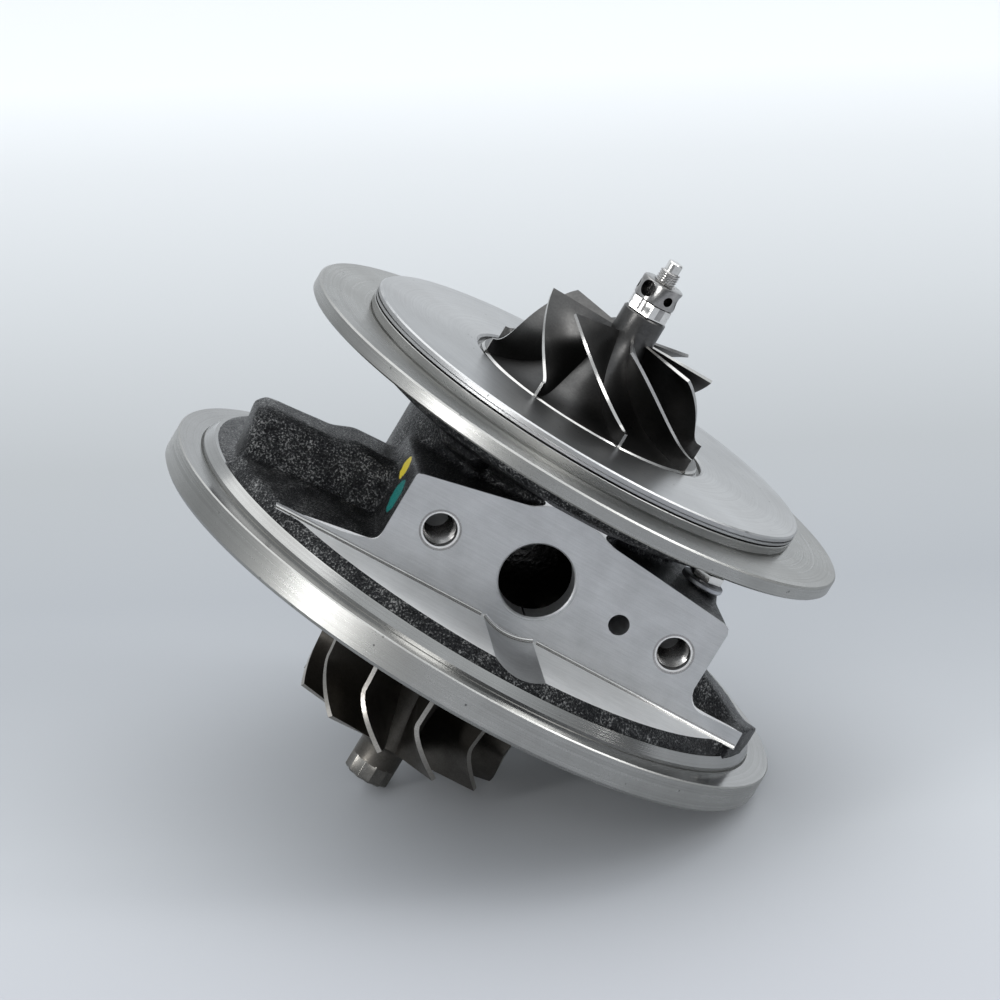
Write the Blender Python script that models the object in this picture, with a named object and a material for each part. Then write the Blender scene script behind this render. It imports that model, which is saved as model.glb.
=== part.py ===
"""Turbocharger cartridge: centre housing with its rotating assembly, leaning as it rests on a bench.

Everything is modelled about the shaft axis, +Z from the turbine to the compressor, with zero at the
lower face of the turbine flange and the oil pad facing -Y. One leaning frame carries all of it.
"""

import math

import bmesh
import bpy
from mathutils import Matrix, Vector

MM = 0.001

# Facet counts
DISC_STEPS = 48
WHEEL_STEPS = 44
RING_STEPS = 36
SHAFT_STEPS = 24
SCREW_STEPS = 16

# Clearances
SEAT_GAP = 0.3 * MM
RUNNING_GAP = 0.05 * MM
SINK = 1.5 * MM

# Turbine flange and boss
TURBINE_FLANGE_RADIUS = 79.3 * MM
TURBINE_FLANGE_THICKNESS = 7.2 * MM
FLANGE_LOWER_BEVEL = 0.9 * MM
FLANGE_EDGE_BREAK = 0.3 * MM
BOSS_RADIUS = 73.1 * MM
BOSS_STEP = 0.9 * MM
BAND_HEIGHT = 2.3 * MM
BAND_INSET = 1.5 * MM
BOSS_REAR_RISE = 1.8 * MM
BOSS_SHOULDER_INSET = 18.0 * MM
PLATEAU_TOP = 13.9 * MM
PLATEAU_RISE = 3.0 * MM
PLATEAU_INSET = 3.1 * MM
PLATEAU_LEFT_ANGLE = math.radians(-166.5)
PLATEAU_RIGHT_ANGLE = math.radians(-20)
BOSS_FRONT_SLOPE = 4.5 * MM
BOSS_FRONT_HALF_ANGLE = math.radians(52)

# Neck and compressor flange
NECK_FILLET = 3.5 * MM
DISH_DEPTH = 7.4 * MM
COMPRESSOR_FLANGE_RADIUS = 69.0 * MM
COMPRESSOR_FLANGE_THICKNESS = 3.5 * MM
COMPRESSOR_FLANGE_HEIGHT = 50.9 * MM
COMPRESSOR_FLANGE_BREAK = 0.4 * MM
REGISTER_RADIUS = 55.8 * MM
REGISTER_BASE_HEIGHT = 2.2 * MM

# Oil pad
PAD_FACE = 41.2 * MM
PAD_LEDGE = 13.3 * MM
PAD_LEFT = 36.0 * MM
PAD_RIGHT = 44.4 * MM
PAD_LEFT_SHOULDER = 35.4 * MM
PAD_PEAK = 43.3 * MM
PAD_RIGHT_SHOULDER = 37.7 * MM
PAD_HOLE_HEIGHT = 26.0 * MM
PAD_BEVEL = 0.5 * MM
DRAIN_RADIUS = 8.6 * MM
DRAIN_CLEARANCE_RADIUS = 14.2 * MM
FEED_OFFSET = 21.5 * MM
FEED_RADIUS = 2.45 * MM
PAD_THREAD_LEFT = 25.0 * MM
PAD_THREAD_RIGHT = 36.0 * MM
PAD_THREAD_RADIUS = 3.4 * MM
PAD_THREAD_CHAMFER = 4.4 * MM
PAD_THREAD_DEPTH = 15.0 * MM

# Cast block and wedge beside the pad
BLOCK_LEFT = 69.2 * MM
BLOCK_BOTTOM = 15.4 * MM
BLOCK_HEIGHT = 10.8 * MM
BLOCK_DEPTH = 12.0 * MM
BLOCK_FRONT_LEFT = 15.0 * MM
BLOCK_FRONT_RIGHT = 25.0 * MM
WEDGE_FLAT = 3.4 * MM
WEDGE_STRIP = 3.9 * MM
WEDGE_DEPTHS = (4.2 * MM, 11.0 * MM, 21.0 * MM, 31.0 * MM, 41.0 * MM)
WEDGE_CROWNS = (11.6 * MM, 12.2 * MM, 11.2 * MM, 10.2 * MM, 9.2 * MM)
WEDGE_TOES = (4.4 * MM, 3.7 * MM, 1.4 * MM, -1.0 * MM, -3.1 * MM)

# Cast lug on the back of the neck
LUG_ANGLE = math.radians(76)
LUG_WIDTH = 34.0 * MM
LUG_REACH = 24.0 * MM
LUG_TOP = 28.0 * MM
LUG_EDGE = 3.0 * MM

# Journal bearings and their bores
JOURNAL_RADIUS = 4.0 * MM
BUSH_WALL = 2.5 * MM
BUSH_LENGTH = 9.0 * MM
TURBINE_BUSH_HEIGHT = 14.0 * MM
CIRCLIP_THICKNESS = 0.9 * MM
CIRCLIP_DEPTH = 0.8 * MM
CIRCLIP_INNER_RADIUS = 5.2 * MM
CIRCLIP_OPENING = math.radians(50)
CARRIER_RADIUS = 12.0 * MM

# Oil gallery
GALLERY_WIDTH = 34.0 * MM
GALLERY_BOTTOM = 13.0 * MM
GALLERY_CEILING = 11.9 * MM
GALLERY_FRONT = 35.0 * MM
GALLERY_BACK = 20.0 * MM

# Thrust parts
THRUST_CHAMBER_RADIUS = 24.0 * MM
THRUST_PLATE_RADIUS = 22.0 * MM
THRUST_PLATE_THICKNESS = 2.6 * MM
THRUST_PLATE_BORE = 6.3 * MM
THRUST_PLATE_SLOT = 7.0 * MM
THRUST_LAND_RADIUS = 9.0 * MM
THRUST_LAND_THICKNESS = 1.5 * MM
THRUST_CORE_RADIUS = 5.9 * MM
THRUST_SCREW_CIRCLE = 17.0 * MM
THRUST_SCREW_RADIUS = 1.5 * MM
THRUST_SCREW_HEAD_RADIUS = 2.7 * MM
THRUST_SCREW_HEAD_HEIGHT = 1.3 * MM
THRUST_SCREW_LENGTH = 6.0 * MM
BAFFLE_THICKNESS = 0.8 * MM
BAFFLE_BORE = 9.6 * MM

# Backplate
BACKPLATE_RIM_THICKNESS = 2.3 * MM
BACKPLATE_BODY_RADIUS = 48.0 * MM
BACKPLATE_BODY_DEPTH = 5.6 * MM
POCKET_RADIUS = 29.8 * MM
POCKET_DEPTH = 1.7 * MM
BACKPLATE_BORE = 7.5 * MM
O_RING_SECTION = 0.9 * MM
BOLT_RIM_DISTANCE = 5.0 * MM
BOLT_NECK_DISTANCE = 7.0 * MM
BOLT_FIRST_ANGLE = math.radians(36)
BOLT_STEP_ANGLE = math.radians(40)
BOLT_COUNT = 3
BOLT_RADIUS = 2.5 * MM
BOLT_HEAD_RADIUS = 4.6 * MM
BOLT_HEAD_HEIGHT = 3.8 * MM
BOLT_FLANGE_RADIUS = 5.3 * MM
BOLT_FLANGE_THICKNESS = 1.2 * MM
BOLT_ENGAGEMENT = 4.4 * MM
BOLT_BOSS_RADIUS = 6.6 * MM
BOLT_BOSS_DEPTH = 1.9 * MM

# Oil gallery plug on the pad block
PLUG_X = 38.8 * MM
PLUG_Y = -21.0 * MM
PLUG_SEAT_RISE = 0.85 * MM
PLUG_THREAD_RADIUS = 2.6 * MM
PLUG_THREAD_LENGTH = 8.0 * MM
PLUG_WASHER_RADIUS = 5.2 * MM
PLUG_WASHER_THICKNESS = 1.3 * MM
PLUG_HEAD_RADIUS = 4.3 * MM
PLUG_HEAD_HEIGHT = 2.2 * MM

# Shaft, seals and nut
SEAL_LAND_RADIUS = 7.2 * MM
SEAL_RING_WIDTH = 1.5 * MM
SEAL_RING_DEPTH = 1.1 * MM
SEAL_RING_SIDE_GAP = 0.1 * MM
SEAL_RING_CUT = math.radians(6)
TURBINE_LAND_TOP = 8.5 * MM
TURBINE_RING_HEIGHT = 4.0 * MM
SPINDLE_RADIUS = 3.0 * MM
SPINDLE_SHOULDER_DROP = 8.8 * MM
STUB_THREAD_RADIUS = 2.4 * MM
STUB_END_RADIUS = 1.9 * MM
STUB_THREAD_LENGTH = 3.0 * MM
STUB_END_LENGTH = 2.4 * MM
NUT_COLLAR_RADIUS = 5.3 * MM
NUT_COLLAR_HEIGHT = 3.0 * MM
NUT_BODY_RADIUS = 5.1 * MM
NUT_BODY_HEIGHT = 5.1 * MM

# Compressor wheel
COMPRESSOR_BLADES = 8
COMPRESSOR_TIP_CLEARANCE = 1.0 * MM
COMPRESSOR_DISC_THICKNESS = 1.4 * MM
COMPRESSOR_EXIT_HEIGHT = 3.3 * MM
COMPRESSOR_INLET_RADIUS = 21.2 * MM
COMPRESSOR_INLET_HEIGHT = 18.8 * MM
COMPRESSOR_NOSE_RADIUS = 5.4 * MM
COMPRESSOR_NOSE_HEIGHT = 24.6 * MM
COMPRESSOR_WRAP = math.radians(61)
COMPRESSOR_FIRST_ANGLE = math.radians(-9.4)
COMPRESSOR_BLADE_THICKNESS = 0.7 * MM

# Turbine wheel
TURBINE_BLADES = 11
TURBINE_INLET_RADIUS = 28.8 * MM
TURBINE_EXIT_RADIUS = 25.8 * MM
TURBINE_BACK_GAP = 1.2 * MM
TURBINE_DISC_THICKNESS = 1.6 * MM
TURBINE_INLET_WIDTH = 8.0 * MM
TURBINE_EXIT_HEIGHT = 30.7 * MM
TURBINE_HUB_EXIT_RADIUS = 7.3 * MM
TURBINE_HUB_EXIT_DROP = 3.8 * MM
TURBINE_TURN = math.radians(23.5)
TURBINE_TURN_START = 20.5 * MM
TURBINE_FIRST_ANGLE = math.radians(-127.8)
TURBINE_BLADE_THICKNESS = 1.1 * MM
TURBINE_NOSE_NECK_RADIUS = 5.6 * MM
TURBINE_NOSE_NECK_DROP = 5.5 * MM
TURBINE_NOSE_RADIUS = 5.8 * MM
TURBINE_NOSE_ROOT_RADIUS = 5.25 * MM
TURBINE_NOSE_POINTS = 12
TURBINE_NOSE_HEIGHT = 4.6 * MM
TURBINE_NOSE_BEVEL = 0.5 * MM

# Heat shield
SHIELD_RADIUS = 36.0 * MM
SHIELD_THICKNESS = 0.8 * MM
SHIELD_BORE = 9.6 * MM
SHIELD_DISH = 2.6 * MM

# Levels worked out from the sizes above
BOSS_STEP_TOP = TURBINE_FLANGE_THICKNESS + BOSS_STEP
BAND_TOP = BOSS_STEP_TOP + BAND_HEIGHT
BAND_RADIUS = BOSS_RADIUS - BAND_INSET
PLATEAU_RADIUS = BOSS_RADIUS - PLATEAU_INSET
BOSS_SHOULDER_RADIUS = BOSS_RADIUS - BOSS_SHOULDER_INSET
BOLT_CIRCLE = BACKPLATE_BODY_RADIUS - BOLT_RIM_DISTANCE
NECK_RADIUS = BOLT_CIRCLE - BOLT_NECK_DISTANCE
DISH_FOOT_RADIUS = BACKPLATE_BODY_RADIUS - 4.0 * MM
DISH_RADIUS = BACKPLATE_BODY_RADIUS + 2.0 * MM
SPINDLE_SHOULDER = COMPRESSOR_FLANGE_HEIGHT - SPINDLE_SHOULDER_DROP
COMPRESSOR_BUSH_HEIGHT = SPINDLE_SHOULDER - BUSH_LENGTH - 2.6 * MM
GALLERY_TOP = COMPRESSOR_FLANGE_HEIGHT - GALLERY_CEILING
PLUG_SEAT = PAD_RIGHT_SHOULDER + PLUG_SEAT_RISE
TURBINE_HUB_EXIT_HEIGHT = TURBINE_EXIT_HEIGHT + TURBINE_HUB_EXIT_DROP
TURBINE_NECK_END = TURBINE_HUB_EXIT_HEIGHT + TURBINE_NOSE_NECK_DROP
TURBINE_NOSE_END = TURBINE_NECK_END + TURBINE_NOSE_HEIGHT
COMPRESSOR_FLANGE_TOP = COMPRESSOR_FLANGE_HEIGHT + COMPRESSOR_FLANGE_THICKNESS
HOUSING_TOP = COMPRESSOR_FLANGE_TOP + REGISTER_BASE_HEIGHT
BACKPLATE_SEAT = HOUSING_TOP + SEAT_GAP
BACKPLATE_TOP = BACKPLATE_SEAT + BACKPLATE_RIM_THICKNESS
BACKPLATE_BOTTOM = BACKPLATE_SEAT - BACKPLATE_BODY_DEPTH
BACKPLATE_WELL_FLOOR = BACKPLATE_BOTTOM - SEAT_GAP
POCKET_FLOOR = BACKPLATE_TOP - POCKET_DEPTH
DISH_BOTTOM = COMPRESSOR_FLANGE_HEIGHT - DISH_DEPTH
BOLT_SEAT = DISH_BOTTOM - BOLT_BOSS_DEPTH
SEAL_BORE_RADIUS = SEAL_LAND_RADIUS + SEAT_GAP
BUSH_RADIUS = JOURNAL_RADIUS + RUNNING_GAP + BUSH_WALL
BEARING_BORE_RADIUS = BUSH_RADIUS + RUNNING_GAP
WHEEL_BACK = POCKET_FLOOR + SEAT_GAP
WHEEL_TOP = WHEEL_BACK + COMPRESSOR_DISC_THICKNESS + COMPRESSOR_NOSE_HEIGHT
COMPRESSOR_WHEEL_RADIUS = POCKET_RADIUS - COMPRESSOR_TIP_CLEARANCE
NUT_SEAT = WHEEL_TOP + SEAT_GAP
NUT_TOP = NUT_SEAT + NUT_COLLAR_HEIGHT + NUT_BODY_HEIGHT
THRUST_COLLAR_BOTTOM = SPINDLE_SHOULDER + SEAT_GAP
THRUST_PLATE_BOTTOM = THRUST_COLLAR_BOTTOM + THRUST_LAND_THICKNESS + SEAT_GAP
THRUST_PLATE_TOP = THRUST_PLATE_BOTTOM + THRUST_PLATE_THICKNESS
THRUST_CHAMBER_FLOOR = THRUST_PLATE_BOTTOM - SEAT_GAP
COLLAR_POCKET_FLOOR = SPINDLE_SHOULDER - SEAT_GAP
COLLAR_POCKET_RADIUS = THRUST_LAND_RADIUS + 4 * SEAT_GAP
FLINGER_BOTTOM = THRUST_PLATE_TOP + SEAT_GAP
FLANGE_CONTACT = (TURBINE_FLANGE_RADIUS - FLANGE_LOWER_BEVEL) * math.cos(math.pi / DISC_STEPS)
LEAN = math.atan2(TURBINE_NOSE_END, FLANGE_CONTACT - TURBINE_NOSE_RADIUS + TURBINE_NOSE_BEVEL)


# Helpers

def clear_scene():
    for obj in list(bpy.data.objects):
        bpy.data.objects.remove(obj, do_unlink=True)


def finish(name, colour, roughness, metallic):
    material = bpy.data.materials.new(name)
    material.use_nodes = True
    shader = material.node_tree.nodes["Principled BSDF"]
    shader.inputs["Base Color"].default_value = (*colour, 1.0)
    shader.inputs["Roughness"].default_value = roughness
    shader.inputs["Metallic"].default_value = metallic
    return material


def add_object(name, bm, parent, material=None):
    """Turns a bmesh into a closed, outward-facing, smooth-shaded object under its parent."""
    bmesh.ops.remove_doubles(bm, verts=bm.verts, dist=1e-7)
    bmesh.ops.recalc_face_normals(bm, faces=bm.faces)
    if bm.calc_volume(signed=True) < 0:
        bmesh.ops.reverse_faces(bm, faces=bm.faces)
    mesh = bpy.data.meshes.new(name)
    bm.to_mesh(mesh)
    bm.free()
    mesh.shade_smooth()
    mesh.set_sharp_from_angle(angle=math.radians(30))
    obj = bpy.data.objects.new(name, mesh)
    bpy.context.scene.collection.objects.link(obj)
    obj.parent = parent
    if material:
        mesh.materials.append(material)
    return obj


def combine(target, tool_bm, operation):
    """Fuses a tool with the target or cuts it away, and keeps the tool as a hidden guide."""
    tool = add_object(f"{target.name}_{operation.lower()}_{len(target.modifiers)}", tool_bm, target.parent)
    tool.hide_render = True
    tool.display_type = "WIRE"
    modifier = target.modifiers.new(tool.name, "BOOLEAN")
    modifier.operation = operation
    modifier.solver = "EXACT"
    modifier.object = tool


def fuse(target, tool_bm):
    combine(target, tool_bm, "UNION")


def cut(target, tool_bm):
    combine(target, tool_bm, "DIFFERENCE")


def on_circle(radius, angle, height=0.0):
    return Vector((radius * math.cos(angle), radius * math.sin(angle), height))


def turned(profile, steps, start=0.0, sweep=math.tau):
    """Revolves a closed loop of (radius, height) points about the shaft axis."""
    bm = bmesh.new()
    loop = [bm.verts.new((radius, 0.0, height)) for radius, height in profile]
    full_turn = sweep >= math.tau
    if full_turn:
        geometry = loop + [bm.edges.new((a, b)) for a, b in zip(loop, loop[1:] + loop[:1])]
    else:
        face = bm.faces.new(loop)
        geometry = loop + list(face.edges) + [face]
    bmesh.ops.spin(bm, geom=geometry, cent=(0, 0, 0), axis=(0, 0, 1), angle=sweep, steps=steps, use_merge=full_turn)
    bmesh.ops.remove_doubles(bm, verts=bm.verts, dist=1e-7)
    bmesh.ops.dissolve_degenerate(bm, edges=bm.edges, dist=1e-7)
    bmesh.ops.rotate(bm, verts=bm.verts, cent=(0, 0, 0), matrix=Matrix.Rotation(start, 3, "Z"))
    return bm


def loft(rings):
    """A closed solid through rings of points, capped at both ends."""
    bm = bmesh.new()
    rows = [[bm.verts.new(point) for point in ring] for ring in rings]
    for lower, upper in zip(rows, rows[1:]):
        for i in range(len(lower)):
            j = (i + 1) % len(lower)
            bm.faces.new((lower[i], lower[j], upper[j], upper[i]))
    bm.faces.new(rows[0])
    bm.faces.new(rows[-1])
    return bm


def bar(radius, start, end, steps=SHAFT_STEPS, end_radius=None):
    """A round bar or a cone between two points."""
    end_radius = radius if end_radius is None else end_radius
    start = Vector(start)
    along = Vector(end) - start
    side = along.normalized().orthogonal().normalized()
    across = along.normalized().cross(side)
    rings = []
    for base, ring_radius in ((start, radius), (start + along, end_radius)):
        angles = [math.tau * i / steps for i in range(steps)]
        rings.append([base + ring_radius * (side * math.cos(a) + across * math.sin(a)) for a in angles])
    return loft(rings)


def merged(parts):
    """One bmesh that holds several separate shapes."""
    whole = bmesh.new()
    for part in parts:
        mesh = bpy.data.meshes.new("part")
        bmesh.ops.recalc_face_normals(part, faces=part.faces)
        part.to_mesh(mesh)
        part.free()
        whole.from_mesh(mesh)
        bpy.data.meshes.remove(mesh)
    return whole


def arc(centre, radius, start, end, count):
    """Points along an arc in a plane."""
    angles = [start + (end - start) * i / (count - 1) for i in range(count)]
    return [(centre[0] + radius * math.cos(a), centre[1] + radius * math.sin(a)) for a in angles]


def ellipse_path(start, end, leaves_axially, count):
    """Quarter of an ellipse from start to end, as (radius, height) points."""
    points = []
    for i in range(count):
        turn = 0.5 * math.pi * i / (count - 1)
        near, far = math.sin(turn), 1.0 - math.cos(turn)
        across, along = (far, near) if leaves_axially else (near, far)
        points.append((start[0] + (end[0] - start[0]) * across, start[1] + (end[1] - start[1]) * along))
    return points


# Bearing housing

def housing_body():
    """The turned outside of the casting, from the turbine flange to the compressor register."""
    shoulder_top = BAND_TOP + BOSS_REAR_RISE
    neck_start = shoulder_top + NECK_FILLET
    return turned([
        (0, 0),
        (TURBINE_FLANGE_RADIUS - FLANGE_LOWER_BEVEL, 0),
        (TURBINE_FLANGE_RADIUS, FLANGE_LOWER_BEVEL),
        (TURBINE_FLANGE_RADIUS, TURBINE_FLANGE_THICKNESS - FLANGE_EDGE_BREAK),
        (TURBINE_FLANGE_RADIUS - FLANGE_EDGE_BREAK, TURBINE_FLANGE_THICKNESS),
        (BOSS_RADIUS, TURBINE_FLANGE_THICKNESS),
        (BOSS_RADIUS, BOSS_STEP_TOP),
        (BAND_RADIUS, BAND_TOP),
        (BOSS_SHOULDER_RADIUS, shoulder_top),
        (NECK_RADIUS + NECK_FILLET, shoulder_top + 0.4 * NECK_FILLET),
        (NECK_RADIUS, neck_start + NECK_FILLET),
        (NECK_RADIUS, DISH_BOTTOM - NECK_FILLET),
        (NECK_RADIUS + 0.4 * NECK_FILLET, DISH_BOTTOM - 0.2 * NECK_FILLET),
        (DISH_FOOT_RADIUS, DISH_BOTTOM),
        (DISH_RADIUS, DISH_BOTTOM + NECK_FILLET),
        (DISH_RADIUS, COMPRESSOR_FLANGE_HEIGHT),
        (COMPRESSOR_FLANGE_RADIUS - COMPRESSOR_FLANGE_BREAK, COMPRESSOR_FLANGE_HEIGHT),
        (COMPRESSOR_FLANGE_RADIUS, COMPRESSOR_FLANGE_HEIGHT + COMPRESSOR_FLANGE_BREAK),
        (COMPRESSOR_FLANGE_RADIUS, COMPRESSOR_FLANGE_TOP - COMPRESSOR_FLANGE_BREAK),
        (COMPRESSOR_FLANGE_RADIUS - COMPRESSOR_FLANGE_BREAK, COMPRESSOR_FLANGE_TOP),
        (REGISTER_RADIUS, COMPRESSOR_FLANGE_TOP),
        (REGISTER_RADIUS, HOUSING_TOP),
        (0, HOUSING_TOP),
    ], DISC_STEPS, math.pi / DISC_STEPS)


def plateau():
    """The raised front of the boss, which the pad, the block and the wedge stand on."""
    inner = 0.5 * NECK_RADIUS
    low = TURBINE_FLANGE_THICKNESS + SEAT_GAP
    high = PLATEAU_TOP + PLATEAU_RISE
    return turned([
        (inner, low), (BAND_RADIUS - 0.1 * MM, low), (BAND_RADIUS - 0.1 * MM, BAND_TOP - 0.2 * MM),
        (PLATEAU_RADIUS, PLATEAU_TOP), (BOSS_SHOULDER_RADIUS, high),
        (NECK_RADIUS + NECK_FILLET, high + 0.4 * NECK_FILLET), (inner, high + NECK_FILLET),
    ], 24, PLATEAU_LEFT_ANGLE, PLATEAU_RIGHT_ANGLE - PLATEAU_LEFT_ANGLE)


def pad_block():
    """The cast block behind the oil pad, with its roof-shaped top and filleted foot."""
    bottom = PAD_LEDGE - SINK
    foot = PAD_LEDGE + 3.4 * MM
    left_fillet = arc((-PAD_LEFT - 2.2 * MM, foot + 2.2 * MM), 2.2 * MM, -0.5 * math.pi, 0, 4)
    right_fillet = arc((PAD_RIGHT + 4.6 * MM, foot + 4.6 * MM), 4.6 * MM, math.pi, 1.5 * math.pi, 5)
    outline = [(-PAD_LEFT - 2.2 * MM, bottom)] + left_fillet + [
        (-PAD_LEFT, PAD_LEFT_SHOULDER - 1.2 * MM),
        (-PAD_LEFT + 1.2 * MM, PAD_LEFT_SHOULDER),
        (-9.7 * MM, PAD_PEAK - 2.7 * MM),
        (-3.7 * MM, PAD_PEAK),
        (6.9 * MM, PAD_PEAK - 0.9 * MM),
        (10.3 * MM, PAD_PEAK - 2.2 * MM),
        (21.3 * MM, PAD_PEAK - 3.3 * MM),
        (PAD_RIGHT - 2.0 * MM, PAD_RIGHT_SHOULDER),
        (PAD_RIGHT, PAD_RIGHT_SHOULDER - 2.0 * MM),
    ] + right_fillet + [(PAD_RIGHT + 4.6 * MM, bottom)]
    narrow_left, narrow_right = 0.94, 0.78
    front = [Vector((x, -PAD_FACE, z)) for x, z in outline]
    middle = [Vector((x, -0.35 * PAD_FACE, z)) for x, z in outline]
    back = [Vector((x * (narrow_left if x < 0 else narrow_right), 0.1 * PAD_FACE, z)) for x, z in outline]
    return loft([front, middle, back])


def side_block():
    """The cast block on the left of the neck, its front turned a little towards the pad's face."""
    inner = PAD_LEFT - SINK
    edge = 2.2 * MM
    low = BLOCK_BOTTOM
    high = BLOCK_BOTTOM + BLOCK_HEIGHT
    buried = TURBINE_FLANGE_THICKNESS + BOSS_STEP
    top = [(BLOCK_LEFT, high - edge), (BLOCK_LEFT - edge, high), (BLOCK_LEFT - 18 * MM, high + 1.4 * MM),
           (BLOCK_LEFT - 23 * MM, high + 3.4 * MM), (inner, high + 3.9 * MM)]
    rings = []
    for depth, shrink in ((0.0, edge), (edge, 0.0), (BLOCK_DEPTH - edge, 0.0), (BLOCK_DEPTH, edge)):
        foot = (low, low + 2.5 * MM) if depth == 0.0 else (buried, buried)
        section = [(BLOCK_LEFT - edge, foot[0])] + top + [(inner, foot[1])]
        ring = []
        for x, z in section:
            share = (BLOCK_LEFT - x) / (BLOCK_LEFT - inner)
            slant = (BLOCK_FRONT_RIGHT - BLOCK_FRONT_LEFT) * share * (1.0 - depth / BLOCK_DEPTH)
            z_in = z - 0.5 * shrink if z > low + 0.5 * BLOCK_HEIGHT else z
            ring.append(Vector((-min(x, BLOCK_LEFT - 0.5 * shrink), depth - BLOCK_FRONT_LEFT - slant, z_in)))
        rings.append(ring)
    return loft(rings)


def side_wedge():
    """The cast wedge on the right of the pad, which slopes down to the boss's rim and to the back."""
    low = PAD_LEDGE - 2 * SINK - MM
    rim = BOSS_RADIUS - 0.5 * BAND_INSET
    sections = [(PAD_FACE, WEDGE_STRIP, WEDGE_STRIP)]
    sections += [(PAD_FACE - d, crown, toe) for d, crown, toe in zip(WEDGE_DEPTHS, WEDGE_CROWNS, WEDGE_TOES)]
    rings = []
    for depth, crown, toe in sections:
        tip = math.sqrt(rim ** 2 - depth ** 2)
        base = min(low, PAD_LEDGE + toe - MM)
        outline = [(0.7 * NECK_RADIUS, base), (0.7 * NECK_RADIUS, PAD_LEDGE + crown), (PAD_RIGHT, PAD_LEDGE + crown),
                   (tip - WEDGE_FLAT, PAD_LEDGE + toe + 0.2 * MM), (tip, PAD_LEDGE + toe), (tip, base)]
        rings.append([Vector((x, -depth, z)) for x, z in outline])
    return loft(rings)


def rear_lug():
    """The plain cast lug on the back of the neck, with a sloping top and bevelled upright edges."""
    half = 0.5 * LUG_WIDTH
    near = 0.5 * NECK_RADIUS
    far = NECK_RADIUS + LUG_REACH
    rings = []
    for height, reach in ((BOSS_STEP_TOP, far + LUG_EDGE), (BAND_TOP + LUG_EDGE, far), (LUG_TOP - LUG_EDGE, far),
                          (LUG_TOP, far - LUG_EDGE)):
        outline = [(near, -half), (reach - LUG_EDGE, -half), (reach, LUG_EDGE - half), (reach, half - LUG_EDGE),
                   (reach - LUG_EDGE, half), (near, half)]
        rings.append([Matrix.Rotation(LUG_ANGLE, 3, "Z") @ Vector((x, y, height)) for x, y in outline])
    return loft(rings)


def bolt_places():
    return [BOLT_FIRST_ANGLE + BOLT_STEP_ANGLE * i for i in range(BOLT_COUNT)]


def bolt_bosses():
    """Round bosses under the dish, one for each backplate bolt."""
    return merged([
        bar(BOLT_BOSS_RADIUS, on_circle(BOLT_CIRCLE, a, BOLT_SEAT), on_circle(BOLT_CIRCLE, a, DISH_BOTTOM + SINK))
        for a in bolt_places()])


def bearing_core():
    """Everything bored out along the shaft axis, as one turned cutter."""
    groove = BEARING_BORE_RADIUS + CIRCLIP_DEPTH
    clip_room = CIRCLIP_THICKNESS + 2 * SEAT_GAP
    points = [
        (0, -SINK),
        (SHIELD_RADIUS + SEAT_GAP, -SINK),
        (SHIELD_RADIUS + SEAT_GAP, SHIELD_THICKNESS + SEAT_GAP),
        (SHIELD_RADIUS - 3 * MM, SHIELD_THICKNESS + SEAT_GAP),
        (SHIELD_RADIUS - 4 * MM, SHIELD_DISH + SHIELD_THICKNESS + 2 * SEAT_GAP),
        (SEAL_BORE_RADIUS + 4 * MM, SHIELD_DISH + SHIELD_THICKNESS + 2 * SEAT_GAP),
        (SEAL_BORE_RADIUS, SHIELD_DISH + SHIELD_THICKNESS + 2 * SEAT_GAP),
        (SEAL_BORE_RADIUS, TURBINE_LAND_TOP + SEAT_GAP),
        (BEARING_BORE_RADIUS, TURBINE_LAND_TOP + 2 * SEAT_GAP),
    ]
    for bottom in circlip_heights():
        points += [(BEARING_BORE_RADIUS, bottom - SEAT_GAP), (groove, bottom - SEAT_GAP),
                   (groove, bottom + clip_room - SEAT_GAP), (BEARING_BORE_RADIUS, bottom + clip_room - SEAT_GAP)]
    points += [
        (BEARING_BORE_RADIUS, COLLAR_POCKET_FLOOR),
        (COLLAR_POCKET_RADIUS, COLLAR_POCKET_FLOOR),
        (COLLAR_POCKET_RADIUS, THRUST_CHAMBER_FLOOR),
        (THRUST_CHAMBER_RADIUS, THRUST_CHAMBER_FLOOR),
        (THRUST_CHAMBER_RADIUS, BACKPLATE_WELL_FLOOR),
        (BACKPLATE_BODY_RADIUS + 2 * SEAT_GAP, BACKPLATE_WELL_FLOOR),
        (BACKPLATE_BODY_RADIUS + 2 * SEAT_GAP, HOUSING_TOP + SINK),
        (0, HOUSING_TOP + SINK),
    ]
    return turned(points, RING_STEPS, math.pi / RING_STEPS)


def circlip_heights():
    """Lower faces of the four circlips that hold the floating bushes in their bores."""
    step = CIRCLIP_THICKNESS + SEAT_GAP
    return [TURBINE_BUSH_HEIGHT - step, TURBINE_BUSH_HEIGHT + BUSH_LENGTH + SEAT_GAP,
            COMPRESSOR_BUSH_HEIGHT - step, COMPRESSOR_BUSH_HEIGHT + BUSH_LENGTH + SEAT_GAP]


def oil_gallery():
    """The drain chamber beside the bearing carrier, with the drain bore that opens it."""
    half = 0.5 * GALLERY_WIDTH
    edge = 5.0 * MM
    outline = [(-half + edge, GALLERY_BOTTOM), (half - edge, GALLERY_BOTTOM), (half, GALLERY_BOTTOM + edge),
               (half, GALLERY_TOP - edge), (half - edge, GALLERY_TOP), (-half + edge, GALLERY_TOP),
               (-half, GALLERY_TOP - edge), (-half, GALLERY_BOTTOM + edge)]
    return loft([[Vector((x, -y, z)) for x, z in outline] for y in (GALLERY_FRONT, CARRIER_RADIUS + SINK)])


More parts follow.
